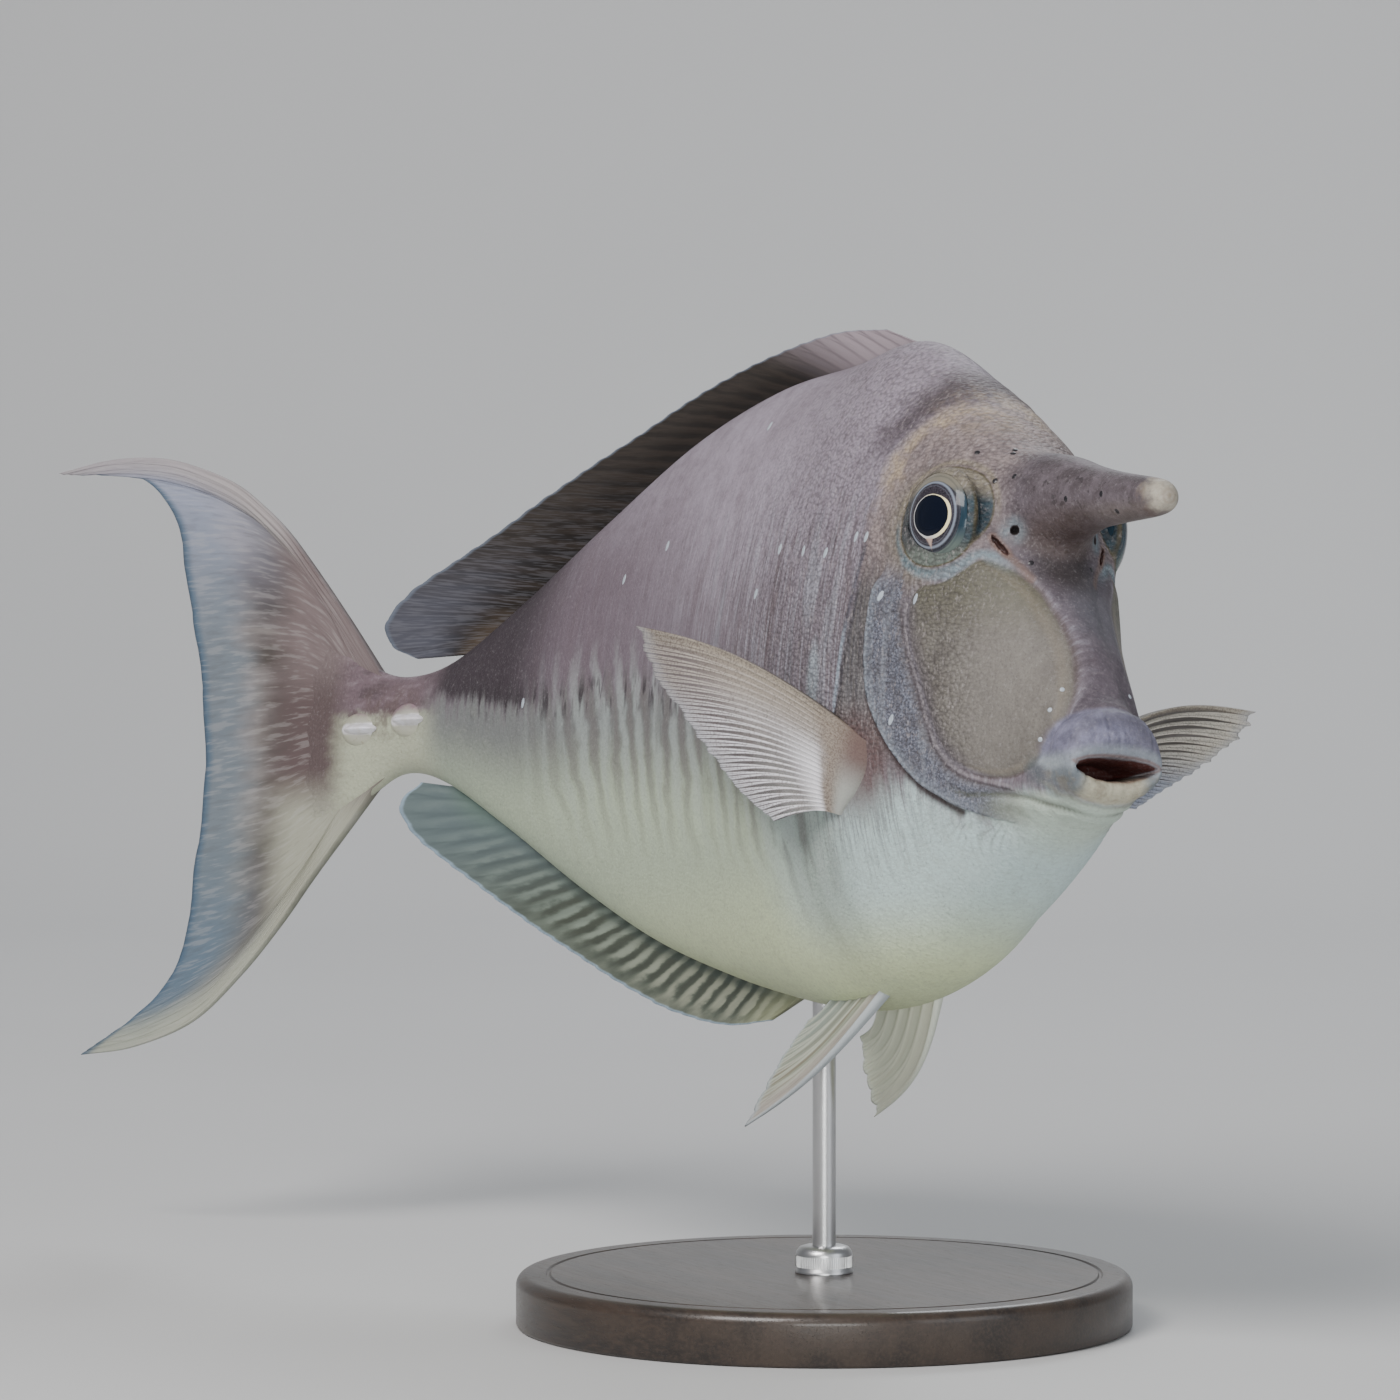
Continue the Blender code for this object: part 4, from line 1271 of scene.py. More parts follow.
        axis_x, axis_z, axis_high = np.array(form.horn_rings).T[:3]
        level, thick = (np.interp(points[:, 0], axis_x, values) for values in (axis_z, axis_high))
        from_axis = np.hypot(points[:, 1], points[:, 2] - level)
        horn = smoothstep(1.45, 1.1, from_axis / thick) * smoothstep(-0.056, -0.036, points[:, 0])
        store(skin, "horn", horn)
        store(skin, "horn_low", (level - points[:, 2]) / thick)
        far = 0.05 * smoothstep(-0.026, -0.034, points[:, 0])
        for name, outline in (("lip", form.lips), ("mouth", form.mouth)):
            store(skin, name, (outline_distance(front, np.array(outline)) - far) * millimetres)

    def build(self) -> Object:
        """Joins the torso, head, horn and orbits, rounds their seams, cuts the eye sockets and nostrils.

        Returns:
            The skin's object.
        """
        skin, head, horn = self.torso(), self.head(), self.horn()
        orbits = [ellipsoid("orbit", self.form.orbit, self.form.eye_frame(side), 96) for side in Side]
        head_tree, horn_tree = surface_tree(head), surface_tree(horn)
        orbit_trees = [surface_tree(orbit) for orbit in orbits]
        combine(skin, [head], "UNION")
        combine(skin, [horn, *orbits], "UNION")
        keep_largest(skin)
        self.blend_nape(skin)
        self.blend(skin, head_tree, horn_tree, self.horn_blend, 90)
        for tree in orbit_trees:
            self.blend(skin, head_tree, tree, self.orbit_blend, 45)
        size = (self.form.eye_radius + 0.0001, self.form.eye_radius + 0.0001, self.form.eye_depth + 0.0001)
        cutters = [ellipsoid("socket", size, self.form.eye_frame(side), 128) for side in Side]
        places = self.pits(skin)
        cutters += [ellipsoid("nostril", self.nostril_size, place, 32) for place in places["nostril"]]
        cutters += [ellipsoid("slit", self.slit_size, place, 32) for place in places["slit"]]
        combine(skin, cutters, "DIFFERENCE")
        keep_largest(skin)
        skin.name = skin.data.name = "fish_skin"
        self.relief(skin)
        self.marks(skin)
        self.mark_pits(skin, places)
        self.pose.place(skin, self.form)
        dress(skin, SkinPaint().build(), Slot.SKIN, "head", "horn", "torso", "tail_stalk")
        return skin


class SkinPaint:
    """The fish's skin: mauve-grey above, striped on the flank, cream below, a tan cheek, a brown horn."""

    def __init__(self) -> None:
        """Starts the material and reads the patterns and distances that its parts share."""
        self.paint = paint = Paint("fish_skin")
        self.spot = paint.vector("spot")
        self.horn_low = paint.number("horn_low")
        self.x, self.y, self.z = paint.parts(self.spot)
        self.broad = paint.noise(self.spot, 2.2, 4)
        self.mottle = paint.noise(self.spot, 16, 5, 0.6)
        self.fine = paint.noise(self.spot, 90, 4, 0.65)
        self.speck = paint.noise(self.spot, 130, 3, 0.8)
        self.streak = paint.noise(self.spot, (26, 4, 2.2), 4, 0.6)
        self.thin_streak = paint.noise(self.spot, (95, 14, 5), 3, 0.6)
        self.blotch = paint.noise(self.spot, (13, 3, 2.0), 3, 0.5)
        self.above = paint.number("above_pale")
        self.cheek = paint.number("cheek")
        self.fold = paint.number("fold")
        self.gill = paint.number("gill")
        self.gill_share = paint.number("gill_share")

    def near(self, place: Sequence[float], flatten: Sequence[float] = (1, 1, 1)) -> Value:
        """Distance from a place on the straight fish, in units of 10 cm, with its axes scaled by flatten.

        Args:
            place: the place.
            flatten: a factor for each axis.

        Returns:
            The distance.
        """
        made = self.paint.node(
            "ShaderNodeVectorMath", {"operation": "DISTANCE"},
            {0: self.paint.stretched(self.spot, flatten), 1: tuple(a * b for a, b in zip(place, flatten))},
        )
        return Value(self.paint, made.outputs["Value"])

    def flank(self) -> NodeSocket:
        """The upper and lower colours of the body, with their border, stripes and dashes, the lowest belly
        lightened both as its own pale colour and as painted light from below.

        Returns:
            The colour.
        """
        paint, x, z, above = self.paint, self.x, self.z, self.above
        upper = paint.mix(z.step(0.0, 0.75), (0.19, 0.162, 0.188), (0.338, 0.29, 0.352))
        front = x.step(-2.6, -1.6) * z.step(0.85, 0.35)
        upper = paint.over(
            upper,
            (x.step(-1.9, -3.1) * z.step(0.95, 0.4), (0.152, 0.118, 0.144)),
            (self.broad.step(0.45, 0.75) * 0.35, (0.15, 0.115, 0.135)),
            (self.mottle.step(0.4, 0.75) * 0.4, (0.13, 0.1, 0.12)),
            (self.blotch.step(0.52, 0.68) * (front * 0.55 + 0.15), (0.105, 0.072, 0.078)),
            (self.blotch.step(0.45, 0.33) * front * 0.45, (0.285, 0.305, 0.35)),
            (self.thin_streak.step(0.5, 0.66) * (front * 0.55 + 0.1), (0.085, 0.068, 0.08)),
            (self.thin_streak.step(0.49, 0.36) * (front * 0.45 + 0.1), (0.38, 0.37, 0.43)),
        )

        pale = paint.mix(above.step(-8.0, -42.0), (0.172, 0.18, 0.178), (0.44, 0.51, 0.375))
        breast = x.step(-1.75, -1.2) * z.step(-1.0, -0.72)
        shade = self.near((-1.26, 0.0, -0.62), (1.6, 0, 0.8))
        pale = paint.over(
            pale,
            # The lowest belly: its own pale colour, lightened further as painted light from below.
            (z.step(-0.55, -0.95), (0.61, 0.68, 0.43)),
            (breast * 0.9, (0.5, 0.63, 0.63)),
            (shade.step(0.42, 0.05) * 0.55, (0.2, 0.225, 0.165)),
            (self.mottle.step(0.45, 0.8) * 0.22, (0.3, 0.32, 0.26)),
        )

        ragged = above + (self.streak - 0.5) * 36.0 + (self.mottle - 0.5) * 12.0
        colour = paint.mix(ragged.step(-9.0, 10.0), pale, upper)
        phase = (x * 43.0 + z * 6.0 + self.broad * 14.0 + self.mottle * 1.2).sine()
        reach = above.step(-66.0, -14.0) * x.step(-3.7, -2.9) * x.step(-1.05, -1.35)
        reach = reach * self.blotch.step(0.3, 0.5)
        light = phase.step(-0.35, 1.0) * reach * above.step(24.0, 2.0)
        dark = phase.step(0.25, -1.0) * reach * above.step(14.0, -2.0)
        dashes = paint.noise(self.spot, (30, 6, 7), 2, 0.5).step(0.53, 0.63)
        dash = dashes * above.band(0.5, 10.0) * x.step(-1.9, -2.3) * x.step(-4.0, -3.8)
        stalk = x.step(-3.15, -3.65) * x.step(-4.25, -4.05) * (above + self.streak * 14.0).step(4.0, 10.0)
        colour = paint.over(
            colour,
            (light * 0.45, (0.42, 0.47, 0.46)),
            (dark * 0.6, (0.14, 0.122, 0.122)),
            (dash * 0.9, (0.04, 0.032, 0.038)),
            (stalk * 0.9, (0.032, 0.024, 0.03)),
        )
        return self.tail_root(colour)

    def tail_root(self, colour: NodeSocket) -> NodeSocket:
        """The skin over the tail fin's root: pinkish mauve with dark streaks above, cream below.

        Args:
            colour: what lies below.

        Returns:
            The colour with this laid over it.
        """
        paint, x, z = self.paint, self.x, self.z
        high = (z + (self.mottle - 0.5) * 0.1).step(0.02, 0.08)
        root = paint.mix(high, (0.42, 0.44, 0.33), (0.155, 0.11, 0.128))
        wisps = paint.noise(self.spot, (7, 7, 24), 3, 0.6)
        under = self.near((-4.33, 0.0, 0.06), (1, 0, 2.2)).step(0.3, 0.1) * self.mottle.step(0.4, 0.6)
        root = paint.over(
            root,
            (wisps.step(0.48, 0.68) * high * 0.65, (0.06, 0.042, 0.048)),
            (wisps.step(0.45, 0.32) * high * 0.4, (0.3, 0.235, 0.27)),
            (under * 0.6, (0.11, 0.075, 0.07)),
        )
        return paint.over(
            colour,
            (x.step(-4.0, -4.2), root),
            ((x + (wisps - 0.5) * 0.1).step(-4.52, -4.68), fin_foot(paint, z)),
        )

    def shoulder(self, colour: NodeSocket) -> NodeSocket:
        """The olive strip behind the gill cover, painted shade in front of its rear fold with a painted
        highlight along the fold's lower edge, and the reddish axil of the fin.

        Args:
            colour: what lies below.

        Returns:
            The colour with this laid over it.
        """
        paint, z, gill = self.paint, self.z, self.gill
        line = paint.number("shoulder")
        height = z.step(-0.42, -0.25) * z.step(0.52, 0.34)
        strip = gill.step(-0.5, -2.0) * line.step(0.5, -1.5) * height
        hide = paint.mix(self.thin_streak.step(0.38, 0.62), (0.122, 0.113, 0.105), (0.052, 0.048, 0.056))
        hide = paint.mix(self.blotch.step(0.5, 0.36) * 0.5, hide, (0.18, 0.176, 0.182))
        patches = self.near((-1.225, 0.0, -0.045), (2.6, 0, 0.8)).step(0.14, 0.05)
        near = self.near((-0.985, 0.0, -0.33), (1, 0, 1))
        rays = (self.thin_streak.step(0.44, 0.62) * near.step(0.48, 0.16) * near.step(0.1, 0.22)
                * z.step(-0.25, -0.42))
        stipple = self.speck.step(0.55, 0.66) * near.step(0.95, 0.25)
        return paint.over(
            colour,
            (strip * 0.9, hide),
            # Painted shade in the crease just in front of the shoulder fold.
            (line.band(-1.4, 1.5) * height * 0.65, (0.04, 0.036, 0.05)),
            (line.band(0.8, 1.6) * height * z.step(0.04, 0.14) * 0.75, (0.06, 0.06, 0.08)),
            # A painted highlight along the shoulder fold's edge, low down.
            (line.band(0.7, 1.5) * height * z.step(0.16, 0.06) * 0.6, (0.36, 0.46, 0.56)),
            (patches * 0.6, (0.36, 0.43, 0.48)),
            (near.step(0.25, 0.08) * 0.8, (0.11, 0.056, 0.054)),
            (rays * 0.55, (0.13, 0.115, 0.12)),
            (stipple * 0.45, (0.1, 0.095, 0.095)),
        )

    def forehead(self, colour: NodeSocket) -> NodeSocket:
        """The crown, the tan stripe that runs up behind the eye, the brown of the face, and painted shade
        under the horn and in the notch below its base.

        Args:
            colour: what lies below.

        Returns:
            The colour with this laid over it.
        """
        paint, x, z = self.paint, self.x, self.z
        drift = paint.noise(self.spot, 6, 3, 0.6)
        brow = paint.number("brow") + (self.mottle - 0.5) * 16.0 + (drift - 0.5) * 22.0
        hide = paint.mix(self.mottle.step(0.3, 0.7), (0.175, 0.138, 0.142), (0.3, 0.24, 0.232))
        patchy = self.mottle.step(0.64, 0.42) * 0.55 + 0.2
        crown = self.near((-0.96, 0.0, 0.955), (1, 0.4, 1)).step(0.18, 0.05)
        top = self.near((-0.78, 0.0, 0.86), (1, 0.6, 1.3)).step(0.26, 0.08)
        face = paint.mix(self.mottle.step(0.3, 0.7), (0.07, 0.057, 0.072), (0.122, 0.1, 0.12))
        front = x.step(-0.6, -0.42) * self.cheek.step(-0.5, -2.5)
        bluish = self.near((-0.3, 0.1, 0.19), (1, 1, 0.8)).step(0.2, 0.06)
        # Painted shade under the horn and in the notch below its base.
        shade_below_horn = x.step(-0.52, -0.3) * z.step(0.12, 0.36) * z.step(0.6, 0.42)
        notch_shade = self.near((-0.365, 0.0, 0.335), (1, 0.75, 0.8)).step(0.145, 0.045)
        behind = paint.number("eye_ring").step(30.0, 19.0) * x.step(-0.6, -0.74) * z.step(0.72, 0.5)
        return paint.over(
            colour,
            (brow.band(-11.0, 14.0) * z.step(0.6, 0.85) * 0.92, (0.075, 0.056, 0.068)),
            (brow.step(-6.0, 6.0) * z.step(0.2, 0.4), hide),
            (brow.band(1.0, 8.0) * z.step(0.45, 0.65) * patchy, (0.47, 0.365, 0.245)),
            (crown * 0.65, (0.085, 0.066, 0.072)),
            (top * 0.45 * self.mottle.step(0.62, 0.4), (0.42, 0.325, 0.225)),
            (front * self.above.step(3.0, 14.0), face),
            (bluish * 0.45, (0.11, 0.118, 0.138)),
            (shade_below_horn * 0.25, (0.048, 0.042, 0.052)),
            (notch_shade * 0.85, (0.026, 0.02, 0.02)),
            (behind * 0.75, (0.19, 0.168, 0.13)),
        )

    def cheek_plate(self, colour: NodeSocket) -> NodeSocket:
        """The tan cheek plate as far back as the fold, with a painted highlight on its middle, a mauve band
        beside it, olive under the eye.

        Args:
            colour: what lies below.

        Returns:
            The colour with this laid over it.
        """
        paint, cheek, fold, z = self.paint, self.cheek, self.fold, self.z
        cloud = paint.noise(self.spot, 7, 3, 0.5)
        plate = paint.mix(self.mottle.step(0.3, 0.75), (0.118, 0.104, 0.092), (0.172, 0.158, 0.138))
        # A painted highlight on the middle of the cheek plate.
        middle = self.near((-0.4, 0.0, -0.13), (1, 0, 0.7)).step(0.26, 0.08)
        rear = self.x.step(-0.44, -0.56) * fold.step(0.2, -0.4) * z.step(0.26, 0.14) * z.step(-0.42, -0.36)
        inside = cheek.step(-0.8, 0.2).most(rear)
        edge = fold.step(-9.5, -4.5) * self.x.step(-0.4, -0.54)
        plate = paint.over(
            plate,
            (cloud.step(0.42, 0.66) * 0.45, (0.122, 0.112, 0.1)),
            (middle * 0.5, (0.222, 0.206, 0.186)),
            (z.step(0.02, 0.24) * 0.7, (0.108, 0.103, 0.068)),
            (self.speck.step(0.5, 0.66) * 0.5, (0.085, 0.075, 0.07)),
            (edge * 0.6, (0.105, 0.09, 0.105)),
            (fold.step(-4.6, -2.6) * self.x.step(-0.34, -0.46) * 0.85, (0.172, 0.155, 0.178)),
        )
        front = self.x.step(-0.56, -0.4)
        return paint.over(
            colour,
            (inside, plate),
            (cheek.band(1.4, 1.5) * front * 0.26, (0.3, 0.255, 0.195)),
            (cheek.band(-0.5, 0.9) * front * 0.65, (0.07, 0.05, 0.044)),
        )

    def gill_cover(self, colour: NodeSocket) -> NodeSocket:
        """The speckled blue-grey gill cover between the fold and its own edge, and painted shade in the slit
        behind it.

        Args:
            colour: what lies below.

        Returns:
            The colour with this laid over it.
        """
        paint, z, gill, fold = self.paint, self.z, self.gill, self.fold
        cover = gill.step(-0.3, 0.3) * fold.step(-0.3, 0.8) * z.step(0.34, 0.22) * self.x.step(-0.25, -0.42)
        flecks = self.speck
        plate = paint.mix(flecks.step(0.42, 0.62), (0.072, 0.074, 0.096), (0.205, 0.22, 0.28))
        plate = paint.over(
            plate,
            (self.mottle.step(0.45, 0.7) * 0.5, (0.085, 0.076, 0.084)),
            (self.streak.step(0.52, 0.64) * 0.35, (0.26, 0.28, 0.32)),
            (gill.step(5.0, 1.5) * 0.32, (0.23, 0.265, 0.31)),
            (fold.step(3.0, 0.5) * 0.45, (0.115, 0.098, 0.096)),
        )
        line = fold.band(0.0, 0.9) * z.step(0.2, 0.12)
        share = self.gill_share
        return paint.over(
            colour,
            (cover, plate),
            (line * 0.75, (0.045, 0.036, 0.04)),
            (fold.band(-1.2, 0.9) * z.step(0.2, 0.12) * 0.35, (0.31, 0.28, 0.29)),
            (gill.band(0.8, 1.0) * share.step(0.4, 0.9) * 0.3, (0.36, 0.41, 0.46)),
            # Painted shade in the groove under the gill cover's edge.
            (gill.band(-1.9, 2.6) * share.step(0.3, 0.8) * 0.9, (0.038, 0.02, 0.02)),
        )

    def eye_rims(self, colour: NodeSocket) -> NodeSocket:
        """The socket's rim, teal in front and grey-tan on top, its olive line, the ribbon and nostrils, with
        the round nostril's pit painted black as painted shade.

        Args:
            colour: what lies below.

        Returns:
            The colour with this laid over it.
        """
        paint = self.paint
        ring, rise, fore = paint.number("eye_ring"), paint.number("eye_rise"), paint.number("eye_fore")
        ribbon = paint.number("ribbon") + (self.mottle - 0.5) * 2.4
        under = ring.band(18.6, 1.8) * rise.step(2.0, -6.0) * fore.step(11.0, 5.0)
        colour = paint.over(
            colour,
            (ribbon.band(0.2, 2.4) * 0.8 * self.x.step(-0.42, -0.5), (0.185, 0.25, 0.285)),
            (under * 0.75, (0.1, 0.15, 0.172)),
            (ring.band(18.8, 1.8) * rise.step(-4.0, 9.0) * 0.5, (0.27, 0.235, 0.15)),
        )
        ring = ring - fore.step(3.0, 11.0) * 0.42
        rim = paint.mix(fore.step(-8.0, 8.0), (0.05, 0.056, 0.06), (0.026, 0.05, 0.066))
        rim = paint.over(
            rim,
            (rise.step(4.0, 10.0), (0.225, 0.198, 0.15)),
            (rise.step(-7.0, -13.0) * 0.8, (0.14, 0.165, 0.14)),
            (self.mottle.step(0.45, 0.65) * 0.35, (0.07, 0.064, 0.055)),
        )
        nostril = paint.number("nostril")
        slit, crease = paint.number("slit"), paint.number("slit_fold")
        fold = crease.step(1.5, 0.2) * ring.step(17.8, 19.0)
        return paint.over(
            colour,
            (ring.step(17.1, 16.6), rim),
            (ring.band(16.9, 0.6) * 0.85, (0.07, 0.058, 0.024)),
            (nostril.step(6.5, 2.2) * (self.mottle.step(0.62, 0.42) * 0.5 + 0.3), (0.2, 0.27, 0.315)),
            (fold * 0.55, (0.155, 0.088, 0.062)),
            (slit.step(2.6, 0.9) * 0.6, (0.18, 0.11, 0.085)),
            (slit.step(1.15, 0.75) * 0.96, (0.048, 0.014, 0.01)),
            # Painted shade: the round nostril's pit is painted black.
            (nostril.step(1.85, 1.6), (0.003, 0.004, 0.006)),
        )

    def horn(self, colour: NodeSocket) -> NodeSocket:
        """The horn: dark brown with small pores, pale at its end, with a ring at the very tip.

        Args:
            colour: what lies below.

        Returns:
            The colour with this laid over it.
        """
        paint = self.paint
        horn = paint.number("horn")
        hide = paint.mix(self.mottle.step(0.3, 0.7), (0.064, 0.05, 0.056), (0.135, 0.111, 0.128))
        dots = paint.noise(self.spot, 40, 2, 0.5).step(0.62, 0.69)
        low = self.horn_low.step(0.0, 0.8)
        hide = paint.over(
            hide,
            (dots * 0.7, (0.03, 0.024, 0.027)),
            (low * 0.5 * self.x.step(-0.3, 0.0), (0.19, 0.155, 0.135)),
            (low * 0.6 * self.x.step(-0.05, -0.28), (0.06, 0.036, 0.026)),
        )
        end = (self.x + (self.mottle - 0.5) * 0.22 - self.horn_low * 0.03).step(0.138, 0.212)
        smear = self.x.band(0.155, 0.05) * self.mottle.step(0.45, 0.6)
        from_tip = self.near((0.232, 0.0, 0.478))
        return paint.over(
            colour,
            (horn, hide),
            (end * horn, (0.37, 0.335, 0.275)),
            (smear * horn * 0.6, (0.1, 0.062, 0.048)),
            (from_tip.band(0.022, 0.01) * 0.3, (0.17, 0.115, 0.08)),
            (from_tip.step(0.018, 0.0) * 0.6, (0.2, 0.145, 0.095)),
        )

    def mouth(self, colour: NodeSocket) -> NodeSocket:
        """The lavender upper lip, the cream lower lip with bluish sides, the dark red-brown mouth, and
        painted shade along the jaw line, in the jaw fold and below it.

        Args:
            colour: what lies below.

        Returns:
            The colour with this laid over it.
        """
        paint = self.paint
        lip, mouth, z = paint.number("lip"), paint.number("mouth"), self.z
        side = self.y.absolute().step(0.085, 0.145)
        upper = paint.mix(self.mottle.step(0.35, 0.7), (0.114, 0.111, 0.164), (0.216, 0.212, 0.305))
        upper = paint.mix(self.blotch.step(0.5, 0.64) * 0.5, upper, (0.098, 0.092, 0.118))
        lower = paint.mix(side, (0.42, 0.395, 0.3), (0.15, 0.172, 0.192))
        lower = paint.mix(self.mottle.step(0.48, 0.66) * 0.55, lower, (0.235, 0.2, 0.145))
        lips = paint.mix(z.step(-0.345, -0.375), upper, lower)
        border = mouth.step(-5.0, -1.4) * z.step(-0.4, -0.375)
        corner = self.near((-0.03, 0.0, -0.362), (1, 0, 1)).step(0.0, 0.1) * side * mouth.step(-3.2, -0.5)
        lips = paint.over(
            lips,
            (border * 0.8, (0.255, 0.285, 0.32)),
            (corner * 0.55, (0.45, 0.5, 0.52)),
        )
        crease = lip.band(-0.4, 1.1) * z.step(-0.2, -0.24) * z.step(-0.36, -0.3)
        chin = self.x.step(-0.46, -0.24) * z.step(-0.435, -0.48)
        # Painted shade: the jaw line beside the lips, the jaw fold and the patch below the fold.
        groove = lip.band(-0.9, 2.2) * z.step(-0.31, -0.37) * side
        jaw, wrinkle = paint.number("jaw"), paint.number("wrinkle")
        patch = self.near((-0.36, 0.0, -0.505), (0.55, 0, 1.3)).step(0.085, 0.0)
        return paint.over(
            colour,
            (lip.step(-0.8, 0.9), lips),
            (crease * 0.45, (0.09, 0.075, 0.085)),
            (chin * lip.step(0.2, -1.4) * 0.75, (0.48, 0.56, 0.46)),
            # Painted shade along the jaw line, in the jaw fold and below it.
            (groove * 0.65, (0.088, 0.11, 0.122)),
            (lip.band(-0.7, 1.0) * z.step(-0.4, -0.44) * 0.45, (0.2, 0.195, 0.15)),
            (jaw * 0.75, (0.085, 0.09, 0.062)),
            (patch * 0.55, (0.17, 0.18, 0.13)),
            (wrinkle.step(0.1, -0.9) * 0.38, (0.15, 0.155, 0.13)),
            (mouth.band(-0.1, 0.9) * 0.6, (0.17, 0.08, 0.06)),
            (mouth.step(0.2, 0.9), (0.06, 0.014, 0.011)),
        )

    def build(self) -> Material:
        """Puts the parts over one another, then grain and relief over all.

        Returns:
            The finished material.
        """
        paint = self.paint
        colour = self.forehead(self.shoulder(self.flank()))
        colour = self.eye_rims(self.gill_cover(self.cheek_plate(colour)))
        colour = self.mouth(self.horn(colour))
        grain = paint.noise(self.spot, 240, 2, 0.6)
        shagreen = paint.cells(paint.stretched(self.spot, (66, 46, 88)), 1.0)
        wrinkle = paint.noise(self.spot, (115, 36, 46), 3, 0.6)
        upper = self.above.step(-10.0, 20.0)
        rough = self.x.step(-2.2, -1.3) * self.x.step(-0.36, -0.6) * upper * 0.8 + 0.2
        colour = paint.over(
            colour,
            (shagreen.step(0.35, 0.8) * rough * 0.42, (0.04, 0.032, 0.034)),
            (wrinkle.step(0.46, 0.3) * rough * 0.3, (0.48, 0.43, 0.43)),
            (self.fine.step(0.54, 0.72) * 0.24, (0.05, 0.042, 0.045)),
            (self.fine.step(0.46, 0.28) * 0.12, (0.6, 0.58, 0.6)),
        )
        streaky = self.above.step(-30.0, 0.0) * 0.35 + 0.08
        relief = self.fine * 0.35 + grain * 0.2 + self.thin_streak * streaky
        relief = relief + (wrinkle * 0.9 - shagreen * 1.3) * rough
        roughness = self.mottle * 0.2 + 0.46
        return paint.finish(colour, roughness, relief, 0.00055, Coat_Weight=0.05, Coat_Roughness=0.3,
                            Specular_IOR_Level=0.3)


# Fins


def fin_foot(paint: Paint, z: Value) -> NodeSocket:
    """The colour where the tail's skin passes into the tail fin, by height, the same on both: the tail's own
    colours, darkened in part as painted shade.
    """
    # The tail's own colours, darkened in part as painted shade.
    foot = paint.mix(z.step(-0.34, -0.12), (0.335, 0.335, 0.27), (0.104, 0.074, 0.074))
    return paint.mix(z.step(0.1, 0.28) * 0.8, foot, (0.185, 0.145, 0.145))


